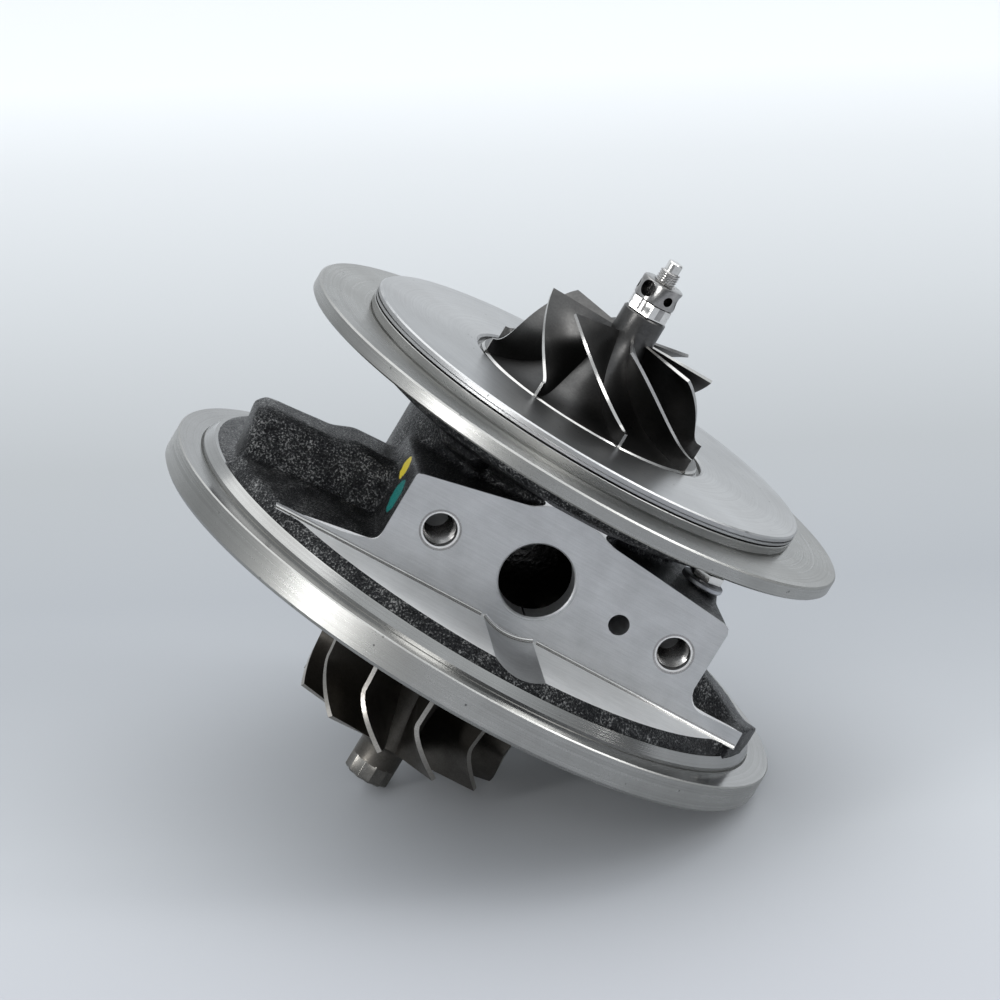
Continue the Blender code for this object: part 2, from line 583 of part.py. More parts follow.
def bearing_housing(parent, material):
    housing = add_object("bearing_housing", housing_body(), parent, material)
    fuse(housing, plateau())
    fuse(housing, pad_block())
    fuse(housing, side_block())
    fuse(housing, side_wedge())
    fuse(housing, rear_lug())
    fuse(housing, bolt_bosses())
    fuse(housing, bar(PLUG_WASHER_RADIUS - 0.6 * MM, (PLUG_X, PLUG_Y, PAD_HOLE_HEIGHT), (PLUG_X, PLUG_Y, PLUG_SEAT)))

    # Milled pad face and the ledge in front of it
    far = TURBINE_FLANGE_RADIUS + SINK
    ledge_top = DISH_BOTTOM - 0.5 * MM
    corners = [(-far, PAD_LEDGE), (far, PAD_LEDGE), (far, ledge_top), (-far, ledge_top)]
    cut(housing, loft([[Vector((x, -y, z)) for x, z in corners] for y in (far, PAD_FACE)]))

    # Sloping cast front of the boss, below the ledge
    inner = BOSS_RADIUS - BOSS_FRONT_SLOPE
    cut(housing, turned([
        (BOSS_RADIUS + SINK, BAND_TOP + 0.1 * MM), (BAND_RADIUS - 0.2 * MM, BAND_TOP + 0.1 * MM),
        (inner, PAD_LEDGE), (inner, PAD_LEDGE + SINK), (BOSS_RADIUS + SINK, PAD_LEDGE + SINK),
    ], 26, -0.5 * math.pi - BOSS_FRONT_HALF_ANGLE, 2 * BOSS_FRONT_HALF_ANGLE))

    # Clearance groove in the ledge, round with the drain bore
    centre = Vector((0, 0, PAD_HOLE_HEIGHT))
    depth = Vector((0, -1, 0))
    cut(housing, bar(DRAIN_CLEARANCE_RADIUS, centre + far * depth, centre + (PAD_FACE + 0.02 * MM) * depth, DISC_STEPS))

    # Drain, gallery, bores along the shaft, feed and pad threads
    drain_end = CARRIER_RADIUS + 3 * MM
    cut(housing, bar(DRAIN_RADIUS, centre + (PAD_FACE + SINK) * depth, centre + drain_end * depth, RING_STEPS))
    cut(housing, oil_gallery())
    cut(housing, bearing_core())
    shaft_port = Vector((0, 0, 0.5 * (TURBINE_BUSH_HEIGHT + BUSH_LENGTH + COMPRESSOR_BUSH_HEIGHT)))
    cut(housing, bar(2.2 * MM, shaft_port + (CARRIER_RADIUS + 2 * SINK) * depth, shaft_port, SHAFT_STEPS))
    feed = Vector((FEED_OFFSET, 0, PAD_HOLE_HEIGHT))
    cut(housing, bar(FEED_RADIUS, feed + (PAD_FACE + SINK) * depth, feed + 0.5 * PAD_FACE * depth))
    for x in (-PAD_THREAD_LEFT, PAD_THREAD_RIGHT):
        mouth = Vector((x, -PAD_FACE, PAD_HOLE_HEIGHT))
        cone = PAD_THREAD_CHAMFER - PAD_THREAD_RADIUS
        cut(housing, bar(PAD_THREAD_RADIUS, mouth + SINK * depth, mouth - PAD_THREAD_DEPTH * depth))
        cut(housing, bar(PAD_THREAD_CHAMFER + cone, mouth + cone * depth, mouth - cone * depth,
                         end_radius=PAD_THREAD_RADIUS))

    cut(housing, bar(PLUG_THREAD_RADIUS + SEAT_GAP, (PLUG_X, PLUG_Y, PLUG_SEAT + SINK),
                     (PLUG_X, PLUG_Y, PLUG_SEAT - PLUG_THREAD_LENGTH - SEAT_GAP), SCREW_STEPS))

    # Bolt holes up through the dish
    cut(housing, merged([
        bar(BOLT_RADIUS + SEAT_GAP, on_circle(BOLT_CIRCLE, a, BOLT_SEAT - SINK),
            on_circle(BOLT_CIRCLE, a, BACKPLATE_WELL_FLOOR + SINK)) for a in bolt_places()]))

    # Tapped holes for the thrust plate's screws
    cut(housing, merged([
        bar(THRUST_SCREW_RADIUS + SEAT_GAP, on_circle(THRUST_SCREW_CIRCLE, a, THRUST_CHAMBER_FLOOR + SINK),
            on_circle(THRUST_SCREW_CIRCLE, a, THRUST_CHAMBER_FLOOR - THRUST_SCREW_LENGTH))
        for a in thrust_screw_angles()]))
    return housing


# Compressor backplate and its bolts

def compressor_backplate(parent, material):
    groove_floor = BACKPLATE_BODY_RADIUS - 2 * O_RING_SECTION + SEAT_GAP
    groove_middle = 0.5 * (BACKPLATE_BOTTOM + BACKPLATE_SEAT)
    groove_half = O_RING_SECTION + SEAT_GAP
    backplate = add_object("compressor_backplate", turned([
        (BACKPLATE_BORE, BACKPLATE_BOTTOM),
        (BACKPLATE_BODY_RADIUS, BACKPLATE_BOTTOM),
        (BACKPLATE_BODY_RADIUS, groove_middle - groove_half),
        (groove_floor, groove_middle - groove_half),
        (groove_floor, groove_middle + groove_half),
        (BACKPLATE_BODY_RADIUS, groove_middle + groove_half),
        (BACKPLATE_BODY_RADIUS, BACKPLATE_SEAT),
        (REGISTER_RADIUS, BACKPLATE_SEAT),
        (REGISTER_RADIUS, BACKPLATE_TOP - FLANGE_EDGE_BREAK),
        (REGISTER_RADIUS - FLANGE_EDGE_BREAK, BACKPLATE_TOP),
        (POCKET_RADIUS, BACKPLATE_TOP),
        (POCKET_RADIUS, POCKET_FLOOR),
        (BACKPLATE_BORE, POCKET_FLOOR),
    ], DISC_STEPS), parent, material)
    cut(backplate, merged([
        bar(BOLT_RADIUS + SEAT_GAP, on_circle(BOLT_CIRCLE, a, BACKPLATE_BOTTOM - SINK),
            on_circle(BOLT_CIRCLE, a, BACKPLATE_BOTTOM + BOLT_ENGAGEMENT + SEAT_GAP)) for a in bolt_places()]))


def backplate_o_ring(parent, material):
    centre = (BACKPLATE_BODY_RADIUS - O_RING_SECTION + SEAT_GAP + 0.1 * MM,
              0.5 * (BACKPLATE_BOTTOM + BACKPLATE_SEAT))
    section = arc(centre, O_RING_SECTION - 0.05 * MM, 0, math.tau * 5 / 6, 6)
    add_object("backplate_o_ring", turned(section, RING_STEPS), parent, material)


def backplate_bolts(parent, material):
    """Flange bolts that come up through the dish from the turbine side."""
    for index, angle in enumerate(bolt_places(), 1):
        spot = on_circle(BOLT_CIRCLE, angle)
        seat = BOLT_SEAT - SEAT_GAP
        shank_top = BACKPLATE_BOTTOM + BOLT_ENGAGEMENT
        washer = seat - BOLT_FLANGE_THICKNESS
        bolt = add_object(f"backplate_bolt_{index}", turned([
            (0, washer - 0.4 * MM), (BOLT_FLANGE_RADIUS - 0.8 * MM, washer - 0.4 * MM), (BOLT_FLANGE_RADIUS, washer),
            (BOLT_FLANGE_RADIUS, seat), (BOLT_RADIUS, seat), (BOLT_RADIUS, shank_top - 0.5 * MM),
            (BOLT_RADIUS - 0.5 * MM, shank_top), (0, shank_top),
        ], SCREW_STEPS), parent, material)
        fuse(bolt, bar(BOLT_HEAD_RADIUS, (0, 0, washer - BOLT_HEAD_HEIGHT), (0, 0, washer), 6))
        bolt.location = spot
        for modifier in bolt.modifiers:
            modifier.object.location = spot


def gallery_plug(parent, washer_material, plug_material):
    """Hexagonal plug that closes an oil drilling, standing on its sealing washer."""
    washer_bottom = PLUG_SEAT + SEAT_GAP
    washer_top = washer_bottom + PLUG_WASHER_THICKNESS
    washer = add_object("gallery_plug_washer", turned([
        (PLUG_THREAD_RADIUS + SEAT_GAP, washer_bottom), (PLUG_WASHER_RADIUS, washer_bottom),
        (PLUG_WASHER_RADIUS, washer_top), (PLUG_THREAD_RADIUS + SEAT_GAP, washer_top),
    ], SHAFT_STEPS), parent, washer_material)
    washer.location = (PLUG_X, PLUG_Y, 0)
    head = washer_top + SEAT_GAP
    top = head + PLUG_HEAD_HEIGHT
    plug = add_object("oil_gallery_plug", turned([
        (0, PLUG_SEAT - PLUG_THREAD_LENGTH), (PLUG_THREAD_RADIUS, PLUG_SEAT - PLUG_THREAD_LENGTH),
        (PLUG_THREAD_RADIUS, head + 0.2 * MM), (0, head + 0.2 * MM),
    ], SCREW_STEPS), parent, plug_material)
    fuse(plug, bar(PLUG_HEAD_RADIUS, (0, 0, head), (0, 0, top), 6))
    plug.location = (PLUG_X, PLUG_Y, 0)
    for modifier in plug.modifiers:
        modifier.object.location = plug.location


# Thrust bearing, baffle and their screws

def thrust_screw_angles():
    return [math.radians(90) + math.tau * i / 3 for i in range(3)]


def thrust_bearing(parent, material):
    """Plate with an open slot, so it slips over the collar's core."""
    plate = add_object("thrust_bearing", turned([
        (THRUST_PLATE_BORE, THRUST_PLATE_BOTTOM), (THRUST_PLATE_RADIUS, THRUST_PLATE_BOTTOM),
        (THRUST_PLATE_RADIUS, THRUST_PLATE_TOP), (THRUST_PLATE_BORE, THRUST_PLATE_TOP),
    ], RING_STEPS), parent, material)
    half = 0.5 * THRUST_PLATE_SLOT
    low, high = THRUST_PLATE_BOTTOM - SINK, THRUST_PLATE_TOP + SINK
    outline = [(-half, -THRUST_PLATE_RADIUS - SINK), (half, -THRUST_PLATE_RADIUS - SINK), (half, 0), (-half, 0)]
    cut(plate, loft([[Vector((x, y, z)) for x, y in outline] for z in (low, high)]))
    cut(plate, merged([
        bar(THRUST_SCREW_RADIUS + SEAT_GAP, on_circle(THRUST_SCREW_CIRCLE, a, low),
            on_circle(THRUST_SCREW_CIRCLE, a, high)) for a in thrust_screw_angles()]))


def thrust_screws(parent, material):
    seat = THRUST_PLATE_TOP + SEAT_GAP
    end = THRUST_CHAMBER_FLOOR - THRUST_SCREW_LENGTH + SEAT_GAP
    for index, angle in enumerate(thrust_screw_angles(), 1):
        screw = add_object(f"thrust_screw_{index}", turned([
            (0, end), (THRUST_SCREW_RADIUS, end), (THRUST_SCREW_RADIUS, seat), (THRUST_SCREW_HEAD_RADIUS, seat),
            (THRUST_SCREW_HEAD_RADIUS, seat + THRUST_SCREW_HEAD_HEIGHT), (0, seat + THRUST_SCREW_HEAD_HEIGHT),
        ], SCREW_STEPS), parent, material)
        screw.location = on_circle(THRUST_SCREW_CIRCLE, angle)


def oil_baffle(parent, material):
    """Thin plate between the thrust bearing and the backplate, held by its rim in the chamber."""
    low = BACKPLATE_BOTTOM - SEAT_GAP - BAFFLE_THICKNESS
    add_object("oil_baffle", turned([
        (BAFFLE_BORE, low), (THRUST_CHAMBER_RADIUS - SEAT_GAP, low),
        (THRUST_CHAMBER_RADIUS - SEAT_GAP, low + BAFFLE_THICKNESS), (BAFFLE_BORE, low + BAFFLE_THICKNESS),
    ], RING_STEPS), parent, material)


# Bearings, circlips and seals

def journal_bushes(parent, material):
    """Floating bushes, each with an oil groove round its middle."""
    groove = 0.4 * MM
    for name, bottom in (("journal_bearing_turbine", TURBINE_BUSH_HEIGHT),
                         ("journal_bearing_compressor", COMPRESSOR_BUSH_HEIGHT)):
        top = bottom + BUSH_LENGTH
        middle = bottom + 0.5 * BUSH_LENGTH
        add_object(name, turned([
            (JOURNAL_RADIUS + RUNNING_GAP, bottom), (BUSH_RADIUS - groove, bottom), (BUSH_RADIUS, bottom + groove),
            (BUSH_RADIUS, middle - MM), (BUSH_RADIUS - groove, middle - MM), (BUSH_RADIUS - groove, middle + MM),
            (BUSH_RADIUS, middle + MM), (BUSH_RADIUS, top - groove), (BUSH_RADIUS - groove, top),
            (JOURNAL_RADIUS + RUNNING_GAP, top),
        ], RING_STEPS), parent, material)


def circlips(parent, material):
    names = ("circlip_turbine_outer", "circlip_turbine_inner", "circlip_compressor_inner", "circlip_compressor_outer")
    outer = BEARING_BORE_RADIUS + CIRCLIP_DEPTH - SEAT_GAP
    for name, bottom in zip(names, circlip_heights()):
        add_object(name, turned([
            (CIRCLIP_INNER_RADIUS, bottom), (outer, bottom),
            (outer, bottom + CIRCLIP_THICKNESS), (CIRCLIP_INNER_RADIUS, bottom + CIRCLIP_THICKNESS),
        ], SHAFT_STEPS, 0.5 * CIRCLIP_OPENING, math.tau - CIRCLIP_OPENING), parent, material)


def seal_ring_floor(bottom):
    return bottom + SEAL_RING_SIDE_GAP


def seal_rings(parent, material):
    """Split piston rings that spring against their bores and stand still in the shaft's grooves."""
    for name, bottom, bore in (("seal_ring_turbine", TURBINE_RING_HEIGHT, SEAL_BORE_RADIUS),
                               ("seal_ring_compressor", flinger_groove(), BACKPLATE_BORE)):
        outer = bore - RUNNING_GAP
        low = seal_ring_floor(bottom)
        add_object(name, turned([
            (outer - SEAL_RING_DEPTH, low), (outer, low), (outer, low + SEAL_RING_WIDTH),
            (outer - SEAL_RING_DEPTH, low + SEAL_RING_WIDTH),
        ], RING_STEPS, 0.5 * SEAL_RING_CUT, math.tau - SEAL_RING_CUT), parent, material)


# Rotating assembly

def grooved_land(radius, bottom, groove, top):
    """Profile points of a seal land with one ring groove, going up."""
    floor = radius - SEAL_RING_DEPTH
    width = SEAL_RING_WIDTH + 2 * SEAL_RING_SIDE_GAP
    return [(radius, bottom), (radius, groove), (floor, groove), (floor, groove + width), (radius, groove + width),
            (radius, top)]


def rotor_shaft(parent, material):
    """Shaft from the turbine seal land to the flats above the nut."""
    land_bottom = -TURBINE_BACK_GAP + 2 * SEAT_GAP
    relief = JOURNAL_RADIUS - 0.5 * MM
    stub = NUT_TOP + STUB_THREAD_LENGTH
    shaft = add_object("rotor_shaft", turned(
        [(0, land_bottom)]
        + grooved_land(SEAL_LAND_RADIUS, land_bottom, TURBINE_RING_HEIGHT, TURBINE_LAND_TOP)
        + [
            (JOURNAL_RADIUS, TURBINE_LAND_TOP),
            (JOURNAL_RADIUS, TURBINE_BUSH_HEIGHT + BUSH_LENGTH + MM),
            (relief, TURBINE_BUSH_HEIGHT + BUSH_LENGTH + 1.5 * MM),
            (relief, COMPRESSOR_BUSH_HEIGHT - 1.5 * MM),
            (JOURNAL_RADIUS, COMPRESSOR_BUSH_HEIGHT - MM),
            (JOURNAL_RADIUS, SPINDLE_SHOULDER),
            (SPINDLE_RADIUS, SPINDLE_SHOULDER),
            (SPINDLE_RADIUS, NUT_SEAT - MM),
            (STUB_THREAD_RADIUS, NUT_SEAT),
            (STUB_THREAD_RADIUS, stub),
            (STUB_END_RADIUS, stub),
            (STUB_END_RADIUS, stub + STUB_END_LENGTH - 0.3 * MM),
            (STUB_END_RADIUS - 0.3 * MM, stub + STUB_END_LENGTH),
            (0, stub + STUB_END_LENGTH),
        ], SHAFT_STEPS), parent, material)
    flat = STUB_END_RADIUS * math.cos(math.radians(35))
    far = 2 * STUB_END_RADIUS
    flats = []
    for side in (1, -1):
        outline = [(side * flat, -far), (side * far, -far), (side * far, far), (side * flat, far)]
        flats.append(loft([[Vector((x, y, z)) for x, y in outline]
                           for z in (stub + 0.05 * MM, stub + STUB_END_LENGTH + SINK)]))
    cut(shaft, merged(flats))


def thrust_collar(parent, material):
    bore = SPINDLE_RADIUS + RUNNING_GAP
    bottom = THRUST_COLLAR_BOTTOM
    land = bottom + THRUST_LAND_THICKNESS
    top = FLINGER_BOTTOM - SEAT_GAP
    add_object("thrust_collar", turned([
        (bore, bottom), (THRUST_LAND_RADIUS, bottom), (THRUST_LAND_RADIUS, land),
        (THRUST_CORE_RADIUS, land), (THRUST_CORE_RADIUS, top), (bore, top),
    ], SHAFT_STEPS), parent, material)


def flinger_groove():
    """Lower side of the ring groove in the flinger, level with the middle of the backplate's bore."""
    return 0.5 * (BACKPLATE_BOTTOM + POCKET_FLOOR) - 0.5 * SEAL_RING_WIDTH


def oil_flinger(parent, material):
    """Sleeve with the upper thrust land, the oil thrower and the compressor seal land."""
    bore = SPINDLE_RADIUS + RUNNING_GAP
    land = FLINGER_BOTTOM + THRUST_LAND_THICKNESS
    seal_radius = BACKPLATE_BORE - SEAT_GAP
    top = WHEEL_BACK - SEAT_GAP
    add_object("oil_flinger", turned(
        [(bore, FLINGER_BOTTOM), (THRUST_LAND_RADIUS, FLINGER_BOTTOM), (THRUST_LAND_RADIUS, land),
         (seal_radius, land + 0.4 * MM)]
        + grooved_land(seal_radius, land + 0.6 * MM, flinger_groove(), top)
        + [(bore, top)], SHAFT_STEPS), parent, material)


def shaft_nut(parent, material):
    """Nut with a hexagonal collar and a round body."""
    body = NUT_SEAT + NUT_COLLAR_HEIGHT
    nut = add_object("shaft_nut", turned([
        (0, body - 0.4 * MM), (NUT_BODY_RADIUS - 0.3 * MM, body - 0.4 * MM), (NUT_BODY_RADIUS - 0.3 * MM, body),
        (NUT_BODY_RADIUS, body + 0.3 * MM), (NUT_BODY_RADIUS, NUT_TOP - 0.4 * MM),
        (NUT_BODY_RADIUS - 0.4 * MM, NUT_TOP), (0, NUT_TOP),
    ], SHAFT_STEPS), parent, material)
    fuse(nut, bar(NUT_COLLAR_RADIUS, (0, 0, NUT_SEAT), (0, 0, body - 0.1 * MM), 6))
    cut(nut, turned([
        (0, NUT_SEAT - SINK), (SPINDLE_RADIUS + RUNNING_GAP, NUT_SEAT - SINK),
        (STUB_THREAD_RADIUS + RUNNING_GAP, NUT_SEAT + 0.1 * MM),
        (STUB_THREAD_RADIUS + RUNNING_GAP, NUT_TOP + SINK), (0, NUT_TOP + SINK),
    ], SHAFT_STEPS))


def blade(hub_path, shroud_path, angles, root_sink, root_thickness, tip_thickness):
    """One thin blade lofted along matched hub and shroud paths, turned by an angle at each station."""
    rings = []
    for (hub_r, hub_z), (tip_r, tip_z), angle in zip(hub_path, shroud_path, angles):
        radial = Vector((tip_r - hub_r, 0, tip_z - hub_z)).normalized()
        root = Vector((hub_r, 0, hub_z)) - root_sink * radial
        tip = Vector((tip_r, 0, tip_z))
        side = Vector((0, 1, 0))
        ring = [root - 0.5 * root_thickness * side, tip - 0.5 * tip_thickness * side,
                tip + 0.5 * tip_thickness * side, root + 0.5 * root_thickness * side]
        rings.append([Matrix.Rotation(angle, 3, "Z") @ point for point in ring])
    return loft(rings)


def compressor_wheel(parent, material):
    """Hub of revolution with eight backswept blades and a bored, cylindrical nose."""
    disc_top = WHEEL_BACK + COMPRESSOR_DISC_THICKNESS
    inlet = disc_top + COMPRESSOR_INLET_HEIGHT
    exit_top = disc_top + COMPRESSOR_EXIT_HEIGHT
    stations = 11
    hub_path = ellipse_path((COMPRESSOR_NOSE_RADIUS, inlet), (COMPRESSOR_WHEEL_RADIUS, disc_top), True, stations)
    shroud_path = ellipse_path((COMPRESSOR_INLET_RADIUS, inlet), (COMPRESSOR_WHEEL_RADIUS, exit_top), True, stations)
    bore = SPINDLE_RADIUS + RUNNING_GAP
    wheel = add_object("compressor_wheel", turned(
        [(bore, WHEEL_TOP), (bore, WHEEL_BACK), (COMPRESSOR_WHEEL_RADIUS, WHEEL_BACK)]
        + list(reversed(hub_path)) + [(COMPRESSOR_NOSE_RADIUS, WHEEL_TOP)], WHEEL_STEPS), parent, material)
    turn = [COMPRESSOR_WRAP * math.sin(0.5 * math.pi * i / (stations - 1)) ** 0.9 for i in range(stations)]
    blades = []
    for index in range(COMPRESSOR_BLADES):
        first = COMPRESSOR_FIRST_ANGLE + math.tau * index / COMPRESSOR_BLADES
        blades.append(blade(hub_path, shroud_path, [first + a for a in turn], 0.9 * MM,
                            1.6 * COMPRESSOR_BLADE_THICKNESS, COMPRESSOR_BLADE_THICKNESS))
    fuse(wheel, merged(blades))


def turbine_paths(stations):
    """Hub path, shroud path and turning angle of a turbine blade, inlet to exit."""
    back = -TURBINE_BACK_GAP - TURBINE_DISC_THICKNESS
    hub_path = ellipse_path((TURBINE_INLET_RADIUS, back), (TURBINE_HUB_EXIT_RADIUS, -TURBINE_HUB_EXIT_HEIGHT),
                            False, stations)
    shroud_start = (TURBINE_INLET_RADIUS, back - TURBINE_INLET_WIDTH)
    shroud_path = ellipse_path(shroud_start, (TURBINE_EXIT_RADIUS, -TURBINE_EXIT_HEIGHT), False, stations)
    angles = []
    for _, tip_z in shroud_path:
        share = max(0.0, -tip_z - TURBINE_TURN_START) / (TURBINE_EXIT_HEIGHT - TURBINE_TURN_START)
        angles.append(TURBINE_TURN * share ** 1.5)
    return hub_path, shroud_path, angles


def turbine_wheel(parent, material):
    """Cast radial wheel with a twelve-point nose for the nut driver."""
    hub_path, shroud_path, angles = turbine_paths(12)
    neck = -TURBINE_NECK_END
    wheel = add_object("turbine_wheel", turned(
        [(0, neck - 0.5 * MM), (TURBINE_NOSE_NECK_RADIUS, neck - 0.5 * MM),
         (TURBINE_NOSE_NECK_RADIUS, -TURBINE_HUB_EXIT_HEIGHT - 1.6 * MM)]
        + list(reversed(hub_path))
        + [(TURBINE_INLET_RADIUS, -TURBINE_BACK_GAP), (SEAL_LAND_RADIUS + 1.2 * MM, -TURBINE_BACK_GAP),
           (SEAL_LAND_RADIUS, -TURBINE_BACK_GAP + SEAT_GAP), (0, -TURBINE_BACK_GAP + SEAT_GAP)],
        WHEEL_STEPS), parent, material)
    blades = []
    for index in range(TURBINE_BLADES):
        first = TURBINE_FIRST_ANGLE + math.tau * index / TURBINE_BLADES
        blades.append(blade(hub_path, shroud_path, [first + a for a in angles], 1.2 * MM,
                            1.7 * TURBINE_BLADE_THICKNESS, TURBINE_BLADE_THICKNESS))
    fuse(wheel, merged(blades))
    rings = []
    for height, shrink in ((-TURBINE_NOSE_END, TURBINE_NOSE_BEVEL),
                           (-TURBINE_NOSE_END + TURBINE_NOSE_BEVEL, 0), (neck, 0)):
        ring = []
        for i in range(2 * TURBINE_NOSE_POINTS):
            radius = (TURBINE_NOSE_ROOT_RADIUS if i % 2 else TURBINE_NOSE_RADIUS) - shrink
            ring.append(on_circle(radius, math.pi * i / TURBINE_NOSE_POINTS, height))
        rings.append(ring)
    fuse(wheel, loft(rings))


def heat_shield(parent, material):
    """Pressed dish between the turbine wheel and the housing."""
    t = SHIELD_THICKNESS
    top = t
    add_object("heat_shield", turned([
        (SHIELD_BORE, SHIELD_DISH), (SHIELD_RADIUS - 5 * MM, SHIELD_DISH), (SHIELD_RADIUS - 4 * MM, 0),
        (SHIELD_RADIUS, 0), (SHIELD_RADIUS, top), (SHIELD_RADIUS - 3.4 * MM, top),
        (SHIELD_RADIUS - 4.4 * MM, SHIELD_DISH + t), (SHIELD_BORE, SHIELD_DISH + t),
    ], RING_STEPS), parent, material)


# Assembly

def frame_empty(name, parent=None):
    empty = bpy.data.objects.new(name, None)
    bpy.context.scene.collection.objects.link(empty)
    empty.parent = parent
    return empty


def stand_on_floor(frame):
    """Moves the leaning frame so that the part's box stands on zero with its middle on the origin."""
    bpy.context.view_layer.update()
    graph = bpy.context.evaluated_depsgraph_get()
    points = []
    for obj in bpy.context.scene.objects:
        if obj.type == "MESH" and not obj.hide_render:
            evaluated = obj.evaluated_get(graph)
            points += [evaluated.matrix_world @ vertex.co for vertex in evaluated.data.vertices]
    low = [min(p[i] for p in points) for i in range(3)]
    high = [max(p[i] for p in points) for i in range(3)]
    frame.location = Vector((-0.5 * (low[0] + high[0]), -0.5 * (low[1] + high[1]), -low[2]))


def main():
    clear_scene()
    casting = finish("cast_iron", (0.05, 0.05, 0.05), 0.6, 0.8)
    machined = finish("machined_iron", (0.55, 0.55, 0.53), 0.35, 1.0)
    steel = finish("steel", (0.6, 0.6, 0.58), 0.3, 1.0)
    bronze = finish("bronze", (0.62, 0.42, 0.2), 0.35, 1.0)
    rubber = finish("rubber", (0.02, 0.02, 0.02), 0.7, 0.0)
    aluminium = finish("dark_aluminium", (0.1, 0.1, 0.1), 0.3, 1.0)
    nickel_alloy = finish("nickel_alloy", (0.14, 0.12, 0.1), 0.4, 1.0)
    shield_steel = finish("shield_steel", (0.4, 0.36, 0.3), 0.4, 1.0)

    leaning = frame_empty("leaning_frame")
    leaning.rotation_euler = (0, LEAN, 0)
    rotor = frame_empty("rotor_axis", leaning)

    bearing_housing(leaning, casting)
    compressor_backplate(leaning, machined)
    backplate_o_ring(leaning, rubber)
    backplate_bolts(leaning, steel)
    gallery_plug(leaning, aluminium, steel)
    thrust_bearing(leaning, bronze)
    thrust_screws(leaning, steel)
    oil_baffle(leaning, steel)
    circlips(leaning, steel)
    seal_rings(leaning, steel)
    heat_shield(leaning, shield_steel)
    journal_bushes(rotor, bronze)
    rotor_shaft(rotor, steel)
    thrust_collar(rotor, steel)
    oil_flinger(rotor, steel)
    compressor_wheel(rotor, aluminium)
    shaft_nut(rotor, steel)
    turbine_wheel(rotor, nickel_alloy)
    stand_on_floor(leaning)


main()
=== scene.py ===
"""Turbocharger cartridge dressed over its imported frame, on a pale studio floor.

Every piece is made in millimetres in the shaft's own frame, and is seated into the leaning frame
when it is finished. +Z runs from the turbine to the compressor, and zero is the lower face of the
turbine flange.
"""

import logging
import math
from dataclasses import dataclass
from enum import Enum
from typing import Sequence

import bpy
from mathutils import Matrix, Vector

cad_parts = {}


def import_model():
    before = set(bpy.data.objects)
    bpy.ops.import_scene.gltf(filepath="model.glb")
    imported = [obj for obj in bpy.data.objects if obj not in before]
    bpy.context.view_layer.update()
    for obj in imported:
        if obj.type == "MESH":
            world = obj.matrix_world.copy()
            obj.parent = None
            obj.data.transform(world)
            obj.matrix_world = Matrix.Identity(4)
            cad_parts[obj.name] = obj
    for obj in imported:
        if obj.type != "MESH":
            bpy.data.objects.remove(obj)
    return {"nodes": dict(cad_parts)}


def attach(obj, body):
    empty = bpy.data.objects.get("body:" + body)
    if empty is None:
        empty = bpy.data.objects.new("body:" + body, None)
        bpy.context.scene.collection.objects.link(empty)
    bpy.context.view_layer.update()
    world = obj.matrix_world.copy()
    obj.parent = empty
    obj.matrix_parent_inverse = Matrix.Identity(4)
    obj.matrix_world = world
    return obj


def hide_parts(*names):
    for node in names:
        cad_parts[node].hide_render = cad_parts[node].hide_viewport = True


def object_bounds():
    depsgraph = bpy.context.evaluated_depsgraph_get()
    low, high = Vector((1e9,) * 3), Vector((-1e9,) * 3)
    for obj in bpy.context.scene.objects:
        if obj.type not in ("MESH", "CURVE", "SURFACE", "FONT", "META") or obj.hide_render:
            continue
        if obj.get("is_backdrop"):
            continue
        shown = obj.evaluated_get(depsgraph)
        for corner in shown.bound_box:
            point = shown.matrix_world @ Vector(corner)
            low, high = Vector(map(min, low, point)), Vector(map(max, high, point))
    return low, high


LOG = logging.getLogger("cartridge")
MM = 0.001
LEAN = 0.5488524251263126
ORIGIN = Vector((-0.009936735, 0.0, 0.040814430))
TURNED_MARKS = "around_the_shaft"

Point = Sequence[float]
Pair = tuple[float, float]
Triple = tuple[float, float, float]
Profile = Sequence[Pair]
Piece = bpy.types.Object
Material = bpy.types.Material
Node = bpy.types.Node
Socket = bpy.types.NodeSocket


class Slot(Enum):
    """Material slots."""

    CAST_IRON = "cast_iron"
    MACHINED_IRON = "machined_iron"
    STEEL = "steel"
    ALUMINIUM = "dark_aluminium"
    NICKEL = "nickel_alloy"
    SHIELD = "shield_steel"


class Body(Enum):
    """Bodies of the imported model."""

    HOUSING = "housing"
    ROTOR = "rotor"


